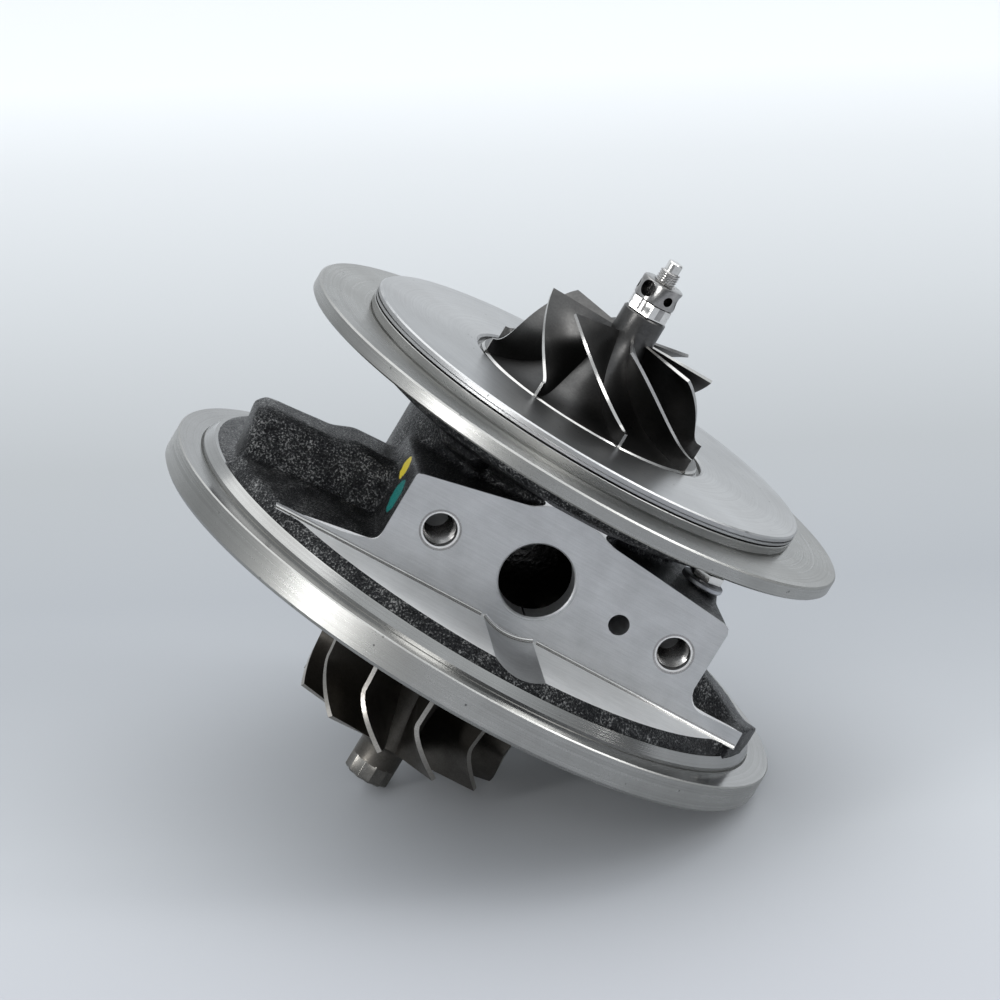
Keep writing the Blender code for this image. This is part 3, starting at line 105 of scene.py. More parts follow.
class Bench:
    """Mesh work on one piece at a time, with Blender's own operators."""

    @staticmethod
    def clear() -> None:
        """Leave edit mode and select nothing."""
        if bpy.context.mode != "OBJECT":
            bpy.ops.object.mode_set(mode="OBJECT")
        bpy.ops.object.select_all(action="DESELECT")

    @staticmethod
    def take(*pieces: Piece) -> Piece:
        """Select pieces and make the first one active.

        Args:
            pieces: The pieces to select.

        Returns:
            The first piece.
        """
        Bench.clear()
        for piece in pieces:
            piece.select_set(True)
        bpy.context.view_layer.objects.active = pieces[0]
        return pieces[0]

    @staticmethod
    def edit_all(piece: Piece) -> None:
        """Enter edit mode on a piece with everything selected.

        Args:
            piece: The piece.
        """
        Bench.take(piece)
        bpy.ops.object.mode_set(mode="EDIT")
        bpy.ops.mesh.select_all(action="SELECT")

    @staticmethod
    def close_up(piece: Piece, fill: bool = False) -> Piece:
        """Merge doubles, fill open ends where asked, and turn every face outwards.

        Args:
            piece: The piece to close.
            fill: Whether open rims are filled.

        Returns:
            The same piece, in object mode.
        """
        Bench.edit_all(piece)
        bpy.ops.mesh.remove_doubles(threshold=1e-4)
        if fill:
            bpy.ops.mesh.fill_holes(sides=0)
            bpy.ops.mesh.select_all(action="SELECT")
        bpy.ops.mesh.normals_make_consistent(inside=False)
        bpy.ops.object.mode_set(mode="OBJECT")
        return piece

    @staticmethod
    def sheet(name: str, rows: Sequence[Sequence[Point]]) -> Piece:
        """Lay a primitive grid over rows of points.

        Args:
            name: Name of the piece.
            rows: Rows of equally many points.

        Returns:
            The new piece.
        """
        Bench.clear()
        bpy.ops.mesh.primitive_grid_add(x_subdivisions=len(rows[0]) - 1,
                                        y_subdivisions=len(rows) - 1, size=1)
        piece = bpy.context.object
        piece.name = piece.data.name = name
        piece.data.vertices.foreach_set("co",
                                        [value for row in rows for point in row for value in point])
        piece.data.update()
        return piece

    @staticmethod
    def loft(name: str, rings: Sequence[Sequence[Point]]) -> Piece:
        """Skin closed rings of points and cap both ends.

        Args:
            name: Name of the piece.
            rings: Rings of equally many points.

        Returns:
            The closed piece.
        """
        skin = Bench.sheet(name, [list(ring) + [ring[0]] for ring in rings])
        return Bench.close_up(skin, fill=True)

    @staticmethod
    def lathe(name: str, profile: Profile, steps: int, start: float = 0.0,
              sweep: float = math.tau) -> Piece:
        """Spin a closed profile about the shaft axis.

        Args:
            name: Name of the piece.
            profile: Loop of radius and height pairs.
            steps: Facets in the sweep.
            start: Angle of the first section.
            sweep: Angle turned through.

        Returns:
            The closed piece.
        """
        Bench.clear()
        bpy.ops.mesh.primitive_circle_add(vertices=len(profile), radius=1.0)
        piece = bpy.context.object
        piece.name = piece.data.name = name
        across = Vector((math.cos(start), math.sin(start), 0.0))
        for vertex, (radius, height) in zip(piece.data.vertices, profile):
            vertex.co = radius * across + Vector((0.0, 0.0, height))
        Bench.edit_all(piece)
        bpy.ops.mesh.spin(steps=steps, angle=-sweep, center=(0, 0, 0), axis=(0, 0, 1),
                          use_auto_merge=sweep >= math.tau)
        return Bench.close_up(piece, fill=sweep < math.tau)

    @staticmethod
    def rod(name: str, radius: float, start: Point, end: Point, steps: int = 64,
            tip: float | None = None) -> Piece:
        """Stand a round bar or a cone between two points.

        Args:
            name: Name of the piece.
            radius: Radius at the start.
            start: Centre of the first end.
            end: Centre of the other end.
            steps: Facets round the bar.
            tip: Radius at the other end, where it differs.

        Returns:
            The closed bar.
        """
        Bench.clear()
        along = Vector(end) - Vector(start)
        turn = along.to_track_quat("Z", "Y").to_euler()
        middle = (Vector(start) + Vector(end)) / 2
        bpy.ops.mesh.primitive_cone_add(vertices=steps, radius1=radius,
                                        radius2=radius if tip is None else tip,
                                        depth=along.length, location=middle, rotation=turn)
        piece = bpy.context.object
        piece.name = piece.data.name = name
        bpy.ops.object.transform_apply(location=True, rotation=True, scale=True)
        return piece

    @staticmethod
    def apply(piece: Piece, kind: str, **settings: object) -> Piece:
        """Add a modifier and apply it at once.

        Args:
            piece: The piece it shapes.
            kind: Blender's modifier type.
            settings: Values for the modifier.

        Returns:
            The same piece.
        """
        Bench.take(piece)
        modifier = piece.modifiers.new(kind.lower(), kind)
        for name, value in settings.items():
            setattr(modifier, name, value)
        bpy.ops.object.modifier_apply(modifier=modifier.name)
        return piece

    @staticmethod
    def combine(piece: Piece, tool: Piece, operation: str = "DIFFERENCE") -> Piece:
        """Cut a tool away from a piece, or weld it on, and throw the tool away.

        Args:
            piece: The piece that is kept.
            tool: The cutter or the addition.
            operation: Blender's Boolean operation.

        Returns:
            The same piece.
        """
        Bench.apply(piece, "BOOLEAN", object=tool, operation=operation, solver="EXACT",
                    material_mode="TRANSFER")
        bpy.data.objects.remove(tool, do_unlink=True)
        return piece

    @staticmethod
    def ease(piece: Piece, width: float, segments: int = 2, angle: float = 30.0) -> Piece:
        """Round the sharp edges of a piece.

        Args:
            piece: The piece.
            width: Width of the rounding, in millimetres.
            segments: Facets across it.
            angle: Least angle of an edge that is rounded, in degrees.

        Returns:
            The same piece.
        """
        return Bench.apply(piece, "BEVEL", width=width, segments=segments, limit_method="ANGLE",
                           angle_limit=math.radians(angle), use_clamp_overlap=True)

    @staticmethod
    def join(pieces: Sequence[Piece]) -> Piece:
        """Join pieces into the first one.

        Args:
            pieces: The pieces, which lose their own objects.

        Returns:
            The first piece.
        """
        Bench.take(*pieces)
        bpy.ops.object.join()
        return pieces[0]

    @staticmethod
    def copy(piece: Piece, angle: float) -> Piece:
        """Copy a piece with its own mesh, turned about the shaft.

        Args:
            piece: The piece to copy.
            angle: Turn about the shaft, in radians.

        Returns:
            The copy.
        """
        twin = piece.copy()
        twin.data = piece.data.copy()
        twin.data.transform(Matrix.Rotation(angle, 4, "Z"))
        bpy.context.scene.collection.objects.link(twin)
        return twin

    @staticmethod
    def dress(piece: Piece, *materials: Material) -> Piece:
        """Give a piece its materials in order.

        Args:
            piece: The piece.
            materials: Its materials, the first for every face.

        Returns:
            The same piece.
        """
        piece.data.materials.clear()
        for material in materials:
            piece.data.materials.append(material)
        return piece

    @staticmethod
    def mark(piece: Piece, index: int, low: float, inner: float) -> Piece:
        """Give another material to the faces above a height and outside a radius.

        Args:
            piece: A piece still in the shaft's frame.
            index: Which of its materials the faces get.
            low: Least height of a face's middle.
            inner: Least radius of a face's middle.

        Returns:
            The same piece.
        """
        for face in piece.data.polygons:
            if face.center.z > low and math.hypot(face.center.x, face.center.y) > inner:
                face.material_index = index
        return piece

    @staticmethod
    def unwrap_turned(piece: Piece) -> None:
        """Map a turned piece with the angle round the shaft across and the way along its wall up.

        Args:
            piece: A piece still in the shaft's frame.
        """
        layer = piece.data.uv_layers.new(name=TURNED_MARKS)
        points = piece.data.vertices
        for face in piece.data.polygons:
            centre = math.atan2(face.center.y, face.center.x)
            for corner in face.loop_indices:
                spot = points[piece.data.loops[corner].vertex_index].co
                reach = math.hypot(spot.x, spot.y)
                angle = math.atan2(spot.y, spot.x) if reach > 1e-3 else centre
                angle = centre + math.remainder(angle - centre, math.tau)
                layer.data[corner].uv = (angle, 0.02 * (reach + spot.z))

    @staticmethod
    def seat(piece: Piece, body: Body, slot: Slot, *nodes: str, turned: bool = False,
             crease: float = 30.0) -> Piece:
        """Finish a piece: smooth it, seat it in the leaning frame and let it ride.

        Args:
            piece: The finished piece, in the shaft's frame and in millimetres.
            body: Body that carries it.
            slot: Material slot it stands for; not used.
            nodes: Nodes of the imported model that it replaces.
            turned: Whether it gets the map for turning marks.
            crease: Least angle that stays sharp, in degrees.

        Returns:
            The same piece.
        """
        if turned:
            Bench.unwrap_turned(piece)
        Bench.take(piece)
        bpy.ops.object.shade_smooth_by_angle(angle=math.radians(crease))
        lean = Matrix.Translation(ORIGIN) @ Matrix.Rotation(LEAN, 4, "Y") @ Matrix.Scale(MM, 4)
        piece.matrix_world = lean @ piece.matrix_world
        bpy.ops.object.transform_apply(location=True, rotation=True, scale=True)
        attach(piece, body.value)
        if nodes:
            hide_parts(*nodes)
        LOG.info("%s: %d faces", piece.name, len(piece.data.polygons))
        return piece


class Kit:
    """Short words for the nodes of one material."""

    def __init__(self, name: str) -> None:
        """Start a material with its principled shader."""
        self.material = bpy.data.materials.new(name)
        self.material.use_nodes = True
        self.tree = self.material.node_tree
        self.shader = self.tree.nodes["Principled BSDF"]

    def add(self, kind: str, **settings: object) -> Node:
        """Add a node and set its properties.

        Args:
            kind: Blender's node type.
            settings: Values for the node.

        Returns:
            The node.
        """
        node = self.tree.nodes.new(kind)
        for name, value in settings.items():
            setattr(node, name, value)
        return node

    def feed(self, socket: Socket, value: object) -> None:
        """Link a socket to another, or set it to a value.

        Args:
            socket: The input.
            value: An output, or a plain value.
        """
        if isinstance(value, Socket):
            self.tree.links.new(value, socket)
        else:
            socket.default_value = value

    def sum(self, operation: str, first: object, second: object = 0.0) -> Socket:
        """Work out one number from two.

        Args:
            operation: Blender's math operation.
            first: Socket or number.
            second: Socket or number.

        Returns:
            The result's socket.
        """
        node = self.add("ShaderNodeMath", operation=operation)
        self.feed(node.inputs[0], first)
        self.feed(node.inputs[1], second)
        return node.outputs[0]

    def total(self, *terms: tuple[Socket, float]) -> Socket:
        """Add up numbers by their weights.

        Args:
            terms: Sockets with their weights.

        Returns:
            The total's socket.
        """
        result: object = 0.0
        for value, weight in terms:
            result = self.sum("ADD", self.sum("MULTIPLY", value, weight), result)
        return result

    def shaft_point(self) -> Socket:
        """Give the surface point in the shaft's frame, in millimetres.

        Returns:
            The point's socket.
        """
        place = self.add("ShaderNodeMapping", vector_type="POINT")
        back = Matrix.Rotation(-LEAN, 4, "Y")
        place.inputs["Rotation"].default_value = (0.0, -LEAN, 0.0)
        place.inputs["Scale"].default_value = (1 / MM, 1 / MM, 1 / MM)
        place.inputs["Location"].default_value = -(back @ ORIGIN) / MM
        self.feed(place.inputs["Vector"], self.add("ShaderNodeTexCoord").outputs["Object"])
        return place.outputs["Vector"]

    def stretch(self, vector: Socket, scale: Point) -> Socket:
        """Scale a vector along its axes.

        Args:
            vector: The vector.
            scale: Factors along x, y and z.

        Returns:
            The scaled vector's socket.
        """
        node = self.add("ShaderNodeVectorMath", operation="MULTIPLY")
        self.feed(node.inputs[0], vector)
        node.inputs[1].default_value = scale
        return node.outputs[0]

    def polar(self, vector: Socket) -> Socket:
        """Turn a point in the shaft's frame into radius, angle in half radians and height.

        Args:
            vector: A point in the shaft's frame.

        Returns:
            The vector's socket.
        """
        parts = self.add("ShaderNodeSeparateXYZ")
        self.feed(parts.inputs[0], vector)
        across = self.sum("MULTIPLY", parts.outputs[0], parts.outputs[0])
        deep = self.sum("MULTIPLY", parts.outputs[1], parts.outputs[1])
        joined = self.add("ShaderNodeCombineXYZ")
        self.feed(joined.inputs[0], self.sum("SQRT", self.sum("ADD", across, deep)))
        self.feed(joined.inputs[1], self.sum("MULTIPLY",
                                             self.sum("ARCTAN2", parts.outputs[1],
                                                      parts.outputs[0]), 0.5))
        self.feed(joined.inputs[2], parts.outputs[2])
        return joined.outputs[0]

    def noise(self, vector: Socket, scale: float, detail: float = 2.0,
              rough: float = 0.5) -> Socket:
        """Read a noise at a scale in features per millimetre.

        Args:
            vector: Where it is read.
            scale: Features per millimetre.
            detail: Octaves.
            rough: Share of the finer octaves.

        Returns:
            The noise's socket, from 0 to 1.
        """
        node = self.add("ShaderNodeTexNoise")
        self.feed(node.inputs["Vector"], vector)
        node.inputs["Scale"].default_value = scale
        node.inputs["Detail"].default_value = detail
        node.inputs["Roughness"].default_value = rough
        return node.outputs["Fac"]

    def cells(self, vector: Socket, scale: float) -> Socket:
        """Read the distance to scattered points, at a scale in points per millimetre.

        Args:
            vector: Where it is read.
            scale: Points per millimetre.

        Returns:
            The distance's socket.
        """
        node = self.add("ShaderNodeTexVoronoi")
        self.feed(node.inputs["Vector"], vector)
        node.inputs["Scale"].default_value = scale
        return node.outputs["Distance"]

    def ramp(self, factor: Socket, *stops: tuple[float, Point]) -> Socket:
        """Pick a colour along a ramp.

        Args:
            factor: Place along the ramp.
            stops: Places with their colours.

        Returns:
            The colour's socket.
        """
        node = self.add("ShaderNodeValToRGB")
        band = node.color_ramp
        while len(band.elements) < len(stops):
            band.elements.new(0.5)
        for element, (place, colour) in zip(band.elements, stops):
            element.position = place
            element.color = (*colour, 1.0)
        self.feed(node.inputs["Fac"], factor)
        return node.outputs["Color"]

    def blend(self, factor: object, first: object, second: object) -> Socket:
        """Mix two colours.

        Args:
            factor: Share of the second colour.
            first: Socket or colour.
            second: Socket or colour.

        Returns:
            The mix's socket.
        """
        node = self.add("ShaderNodeMix", data_type="RGBA")
        self.feed(node.inputs["Factor"], factor)
        self.feed(node.inputs[6], first)
        self.feed(node.inputs[7], second)
        return node.outputs[2]

    def remap(self, value: Socket, low: float, high: float, to_low: float,
              to_high: float) -> Socket:
        """Carry a range of numbers over to another, with its ends held.

        Args:
            value: The number.
            low: Start of its range.
            high: End of its range.
            to_low: What the start becomes.
            to_high: What the end becomes.

        Returns:
            The result's socket.
        """
        node = self.add("ShaderNodeMapRange")
        for index, number in enumerate((value, low, high, to_low, to_high)):
            self.feed(node.inputs[index], number)
        return node.outputs[0]

    def relief(self, height: Socket, depth: float, strength: float = 1.0) -> None:
        """Raise the surface by a height map, with its depth in millimetres.

        Args:
            height: The height map.
            depth: Its depth.
            strength: Share of the effect.
        """
        node = self.add("ShaderNodeBump")
        node.inputs["Strength"].default_value = strength
        node.inputs["Distance"].default_value = depth * MM
        self.feed(node.inputs["Height"], height)
        self.feed(self.shader.inputs["Normal"], node.outputs["Normal"])

    def surface(self, colour: object, roughness: object, metallic: object = 1.0) -> Material:
        """Set the shader's colour, roughness and metal and give back the material.

        Args:
            colour: Socket or colour.
            roughness: Socket or number.
            metallic: Socket or number.

        Returns:
            The material.
        """
        self.feed(self.shader.inputs["Base Color"], colour)
        self.feed(self.shader.inputs["Roughness"], roughness)
        self.feed(self.shader.inputs["Metallic"], metallic)
        return self.material


@dataclass(frozen=True)
class TurnedMetal:
    """Metal faced on a lathe: fine rings about the shaft, cloudy tone and a few pits."""

    name: str
    light: Point
    dark: Point
    roughness: float = 0.3
    rings: float = 3.0
    anisotropy: float = 0.6
    pits: float = 0.12

    def make(self) -> Material:
        """Build the material.

        Returns:
            The material.
        """
        kit = Kit(self.name)
        point = kit.shaft_point()
        marks = kit.noise(kit.stretch(kit.polar(point), (1.0, 0.35, 1.0)), self.rings, 3.0, 0.6)
        cloud = kit.noise(point, 0.07, 3.0, 0.6)
        grain = kit.noise(point, 4.0, 1.0)
        tone = kit.total((marks, 0.45), (cloud, 0.35), (grain, 0.2))
        colour = kit.ramp(tone, (0.3, self.dark), (0.7, self.light))
        dots = kit.remap(kit.cells(point, 0.33), self.pits * 0.5, self.pits, 1.0, 0.0)
        spots = kit.sum("MULTIPLY", dots, kit.remap(kit.noise(point, 0.3,
                                                              1.0), 0.5, 0.62, 0.0, 1.0))
        colour = kit.blend(kit.sum("MULTIPLY", spots, 0.75), colour, (0.03, 0.03, 0.03, 1.0))
        kit.relief(kit.total((marks, 1.0), (grain, 0.6), (spots, -1.0)), 0.02, 0.6)
        kit.shader.inputs["Anisotropic"].default_value = self.anisotropy
        if self.anisotropy:
            tangent = kit.add("ShaderNodeTangent", direction_type="UV_MAP", uv_map=TURNED_MARKS)
            kit.feed(kit.shader.inputs["Tangent"], tangent.outputs[0])
        rough = kit.remap(tone, 0.3, 0.7, self.roughness + 0.06, self.roughness - 0.03)
        return kit.surface(colour, rough)


@dataclass(frozen=True)
class MilledIron:
    """Grey iron milled flat, with faint straight cutter lines and small stains."""

    name: str = "milled_iron"
    light: Point = (0.58, 0.585, 0.59)
    dark: Point = (0.43, 0.435, 0.44)
    roughness: float = 0.46
    metallic: float = 1.0

    def make(self) -> Material:
        """Build the material.

        Returns:
            The material.
        """
        kit = Kit(self.name)
        point = kit.shaft_point()
        lines = kit.noise(kit.stretch(point, (0.12, 1.0, 2.6)), 1.0, 3.0, 0.6)
        cloud = kit.noise(point, 0.12, 4.0, 0.6)
        grain = kit.noise(point, 5.0, 2.0)
        tone = kit.total((lines, 0.3), (cloud, 0.45), (grain, 0.25))
        colour = kit.ramp(tone, (0.32, self.dark), (0.62, self.light))
        kit.relief(kit.sum("ADD", lines, grain), 0.012, 0.5)
        rough = kit.remap(tone, 0.3, 0.7, self.roughness + 0.05, self.roughness - 0.04)
        return kit.surface(colour, rough, self.metallic)


@dataclass(frozen=True)
class CastIron:
    """Shot-blasted black casting with glinting grains and two inspection dabs of paint."""

    name: str = "cast_iron_skin"
    deep: Point = (0.006, 0.006, 0.007)
    middle: Point = (0.026, 0.027, 0.028)
    skin: Point = (0.30, 0.30, 0.295)
    yellow: Point = (0.75, 0.60, 0.02)
    green: Point = (0.0, 0.17, 0.155)
    yellow_place: Point = (-36.6, -27.2, 31.6)
    yellow_size: Point = (3.4, 2.9, 2.7)
    green_place: Point = (-36.8, -33.6, 26.4)
    green_size: Point = (3.4, 3.7, 4.2)

    def dab(self, kit: Kit, point: Socket, centre: Point, size: Point) -> Socket:
        """Mask one dab of paint.

        Args:
            kit: The material's nodes.
            point: Point in the shaft's frame.
            centre: Middle of the dab.
            size: Its half sizes.

        Returns:
            A mask that is 1 inside the dab.
        """
        node = kit.add("ShaderNodeVectorMath", operation="SUBTRACT")
        kit.feed(node.inputs[0], point)
        node.inputs[1].default_value = centre
        far = kit.add("ShaderNodeVectorMath", operation="LENGTH")
        kit.feed(far.inputs[0], kit.stretch(node.outputs[0], [1 / value for value in size]))
        rag = kit.total((far.outputs["Value"], 1.0), (kit.noise(point, 0.8, 2.0), 0.5))
        return kit.remap(rag, 1.2, 1.3, 1.0, 0.0)

    def make(self) -> Material:
        """Build the material.

        Returns:
            The material.
        """
        kit = Kit(self.name)
        point = kit.shaft_point()
        grains = kit.noise(point, 2.1, 4.0, 0.66)
        knobs = kit.cells(point, 1.9)
        lumps = kit.noise(point, 0.22, 3.0, 0.5)
        kit.relief(kit.total((grains, 1.0), (knobs, -0.3), (lumps, 0.8)), 0.42, 1.0)
        colour = kit.ramp(kit.total((grains, 0.75), (lumps, 0.25)),
                          (0.4, self.deep), (0.53, self.middle), (0.66, self.skin))
        yellow = self.dab(kit, point, self.yellow_place, self.yellow_size)
        green = self.dab(kit, point, self.green_place, self.green_size)
        colour = kit.blend(yellow, colour, (*self.yellow, 1.0))
        colour = kit.blend(green, colour, (*self.green, 1.0))
        paint = kit.sum("MAXIMUM", yellow, green)
        return kit.surface(colour, kit.remap(grains, 0.3, 0.7, 0.46, 0.28),
                           kit.remap(paint, 0.0, 1.0, 0.9, 0.0))


@dataclass(frozen=True)
class CleanMetal:
    """A metal with cloudy tone, fine grain and light tool marks."""

    name: str
    light: Point
    dark: Point
    roughness: float
    grain: float = 3.0
    depth: float = 0.02
    metallic: float = 1.0

    def make(self) -> Material:
        """Build the material.

        Returns:
            The material.
        """
        kit = Kit(self.name)
        point = kit.shaft_point()
        cloud = kit.noise(point, 0.18, 4.0, 0.6)
        fine = kit.noise(point, self.grain, 3.0, 0.6)
        tone = kit.total((cloud, 0.6), (fine, 0.4))
        kit.relief(fine, self.depth, 0.7)
        colour = kit.ramp(tone, (0.33, self.dark), (0.66, self.light))
        rough = kit.remap(tone, 0.3, 0.7, self.roughness * 1.25, self.roughness * 0.85)
        return kit.surface(colour, rough, self.metallic)


class Finishes:
    """All finishes of the cartridge, each made once."""

    def __init__(self) -> None:
        """Make every finish."""
        self.turned = TurnedMetal("turned_iron", (0.43, 0.43, 0.415), (0.25, 0.248, 0.238),
                                  0.27, 3.0, 0.75).make()
        # A darker, glossier copy of the turned iron for the band and the flange's top ring; its
        # darker colour is painted shade.
        self.step = TurnedMetal("turned_step_painted_shade", (0.36, 0.36, 0.35), (0.24, 0.238, 0.23),
                                0.15, 3.0, 0.3, 0.08).make()
        # The ledge is the same milled iron as the pad face, made much lighter as painted light
        # where it faces the light above.
        self.ledge = MilledIron("milled_ledge_painted_light", (0.86, 0.86, 0.855), (0.7, 0.7, 0.695),
                                0.5, 0.5).make()
        self.backplate = TurnedMetal("turned_backplate", (0.55, 0.555, 0.555), (0.38, 0.38, 0.38),
                                     0.3, 4.0, 0.7).make()
        self.milled = MilledIron().make()
        self.casting = CastIron().make()
        self.wheel = CleanMetal("gunmetal_wheel", (0.105, 0.103, 0.1), (0.062, 0.061, 0.06),
                                0.31, 2.0, 0.006).make()
        # Light finish for the compressor wheel's blade edges and rim: a painted highlight on the
        # dark wheel metal.
        self.edge = CleanMetal("blade_edge_painted_highlight", (0.56, 0.55, 0.53), (0.36, 0.355, 0.345),
                               0.2, 3.0, 0.004).make()
        self.alloy = CleanMetal("cast_nickel_alloy", (0.15, 0.14, 0.125), (0.085, 0.078, 0.068),
                                0.4, 2.4, 0.03).make()
        self.tip = CleanMetal("ground_blade_tip", (0.5, 0.48, 0.445), (0.3, 0.285, 0.26),
                              0.28, 3.0, 0.01).make()
        self.nose = CleanMetal("worn_nose_steel", (0.27, 0.26, 0.24), (0.14, 0.132, 0.12),
                               0.28, 2.4, 0.02).make()
        self.bright = CleanMetal("bright_steel", (0.74, 0.73, 0.71), (0.55, 0.54, 0.52),
                                 0.17, 3.0, 0.006).make()
        self.nut = CleanMetal("blackened_nut_steel", (0.42, 0.41, 0.4), (0.2, 0.195, 0.19),
                              0.2, 1.2, 0.02).make()
        self.thread = CleanMetal("thread_steel", (0.46, 0.45, 0.44), (0.24, 0.235, 0.23),
                                 0.26, 3.0, 0.01).make()
        self.bolt = CleanMetal("dull_bolt_steel", (0.35, 0.34, 0.32), (0.2, 0.19, 0.18),
                               0.38, 2.0, 0.02).make()
        self.washer = CleanMetal("soft_washer_metal", (0.5, 0.51, 0.53), (0.36, 0.37, 0.39),
                                 0.42, 2.0, 0.02).make()
        self.bronze = CleanMetal("bearing_bronze", (0.66, 0.45, 0.22), (0.45, 0.29, 0.13),
                                 0.3, 2.0, 0.01).make()
        # Near-black finish for the drain chamber and the nut's drillings: painted shade in these
        # hollows.
        self.cavity = CleanMetal("painted_shade_cavity", (0.06, 0.058, 0.055), (0.012, 0.012, 0.012),
                                 0.22, 0.8, 0.25).make()
        self.shield = CleanMetal("heat_tinted_shield", (0.42, 0.37, 0.30), (0.25, 0.21, 0.17),
                                 0.36, 1.2, 0.02).make()
        self.rubber = CleanMetal("seal_rubber", (0.03, 0.03, 0.03), (0.015, 0.015, 0.015),
                                 0.6, 2.0, 0.03, 0.0).make()


def on_circle(radius: float, angle: float, height: float = 0.0) -> Vector:
    """Give a point at a radius, an angle and a height."""
    return Vector((radius * math.cos(angle), radius * math.sin(angle), height))


def arc(centre: Pair, radius: float, start: float, end: float, count: int) -> list[Pair]:
    """Sample an arc in a plane.

    Args:
        centre: Middle of the arc.
        radius: Its radius.
        start: First angle, in degrees.
        end: Last angle, in degrees.
        count: Number of steps.

    Returns:
        The points from first to last.
    """
    turns = [math.radians(start + (end - start) * i / count) for i in range(count + 1)]
    return [(centre[0] + radius * math.cos(t), centre[1] + radius * math.sin(t)) for t in turns]


def ellipse_path(start: Pair, end: Pair, leaves_axially: bool, count: int) -> list[Pair]:
    """Sample a quarter of an ellipse between two points of a wheel's section.

    Args:
        start: First radius and height.
        end: Last radius and height.
        leaves_axially: Whether the path starts along the shaft.
        count: Number of points.

    Returns:
        The points as radius and height.
    """
    points = []
    for i in range(count):
        turn = 0.5 * math.pi * i / (count - 1)
        near, far = math.sin(turn), 1.0 - math.cos(turn)
        across, along = (far, near) if leaves_axially else (near, far)
        points.append((start[0] + (end[0] - start[0]) * across,
                       start[1] + (end[1] - start[1]) * along))
    return points


def screw_thread(name: str, radius: float, depth: float, pitch: float, turns: int,
                 inward: bool = False) -> Piece:
    """Wind a pointed ridge round the Z axis.

    Args:
        name: Name of the piece.
        radius: Radius of the ridge's foot.
        depth: Height of the ridge.
        pitch: Rise in one turn.
        turns: Number of turns.
        inward: Whether the ridge points to the axis.

    Returns:
        The closed ridge, starting at height zero.
    """
    Bench.clear()
    bpy.ops.mesh.primitive_circle_add(vertices=4, radius=1.0)
    ridge = bpy.context.object
    ridge.name = ridge.data.name = name
    crest = radius - depth if inward else radius + depth
    sink = radius + 0.1 if inward else radius - 0.1
    section = [(sink, 0.0), (radius, 0.05 * pitch), (crest, 0.5 * pitch), (radius, 0.95 * pitch)]
    for vertex, (reach, height) in zip(ridge.data.vertices, section):
        vertex.co = (reach, 0.0, height)
    Bench.apply(ridge, "SCREW", screw_offset=pitch, iterations=turns, steps=40,
                render_steps=40, axis="Z")
    return Bench.close_up(ridge, fill=True)


@dataclass(frozen=True)
class FlangeSize:
    """Sizes of the two flanges, in millimetres."""

    turbine_bore: float = 33.0
    turbine_radius: float = 79.3
    turbine_thickness: float = 7.2
    boss_radius: float = 73.1
    band_radius: float = 71.6
    band_top: float = 10.4
    band_inner: float = 66.0
    band_foot: float = 8.0
    recess_radius: float = 36.3
    compressor_radius: float = 69.0
    compressor_bottom: float = 50.9
    compressor_top: float = 54.4
    register_radius: float = 55.8
    register_top: float = 56.6
    well_radius: float = 48.6


@dataclass(frozen=True)
class Flanges:
    """The turned flanges at both ends of the housing."""

    finishes: Finishes
    size: FlangeSize = FlangeSize()

    def build(self) -> None:
        """Build both flanges."""
        s = self.size
        edge = s.turbine_radius
        disc = Bench.lathe("turbine_flange", [
            (s.turbine_bore, 1.1), (s.recess_radius, 1.1), (s.recess_radius, 0.3),
            (s.recess_radius + 0.3, 0.0), (edge - 0.9, 0.0), (edge, 0.9),
            (edge, s.turbine_thickness - 0.3), (edge - 0.3, s.turbine_thickness),
            (s.boss_radius + 0.4, s.turbine_thickness), (s.boss_radius, s.turbine_thickness - 0.25),
            (s.boss_radius, s.band_foot + 0.1), (s.band_radius, s.band_top),
            (s.band_inner, s.band_top), (s.band_inner, s.band_foot),
            (s.turbine_bore, s.band_foot)], 288)
        Bench.dress(disc, self.finishes.turned, self.finishes.step)
        # The band and the flange's top ring take the darker copy of the turned iron, as painted
        # shade.
        Bench.mark(disc, 1, s.turbine_thickness - 0.1, s.band_inner - 6.0)
        Bench.seat(disc, Body.HOUSING, Slot.MACHINED_IRON, "bearing_housing",
                   turned=True, crease=20.0)
        edge = s.compressor_radius
        low, high = s.compressor_bottom, s.compressor_top
        ring = Bench.lathe("compressor_flange", [
            (s.well_radius, low + 0.1), (edge - 0.4, low), (edge, low + 0.4), (edge, high - 0.4),
            (edge - 0.4, high), (s.register_radius + 0.2, high),
            (s.register_radius - 0.4, high + 0.15), (s.register_radius - 0.4, high + 0.55),
            (s.register_radius, high + 0.65), (s.register_radius, s.register_top - 0.15),
            (s.register_radius - 0.15, s.register_top), (s.well_radius, s.register_top)], 288)
        Bench.dress(ring, self.finishes.turned)
        Bench.seat(ring, Body.HOUSING, Slot.MACHINED_IRON, "bearing_housing",
                   turned=True, crease=20.0)


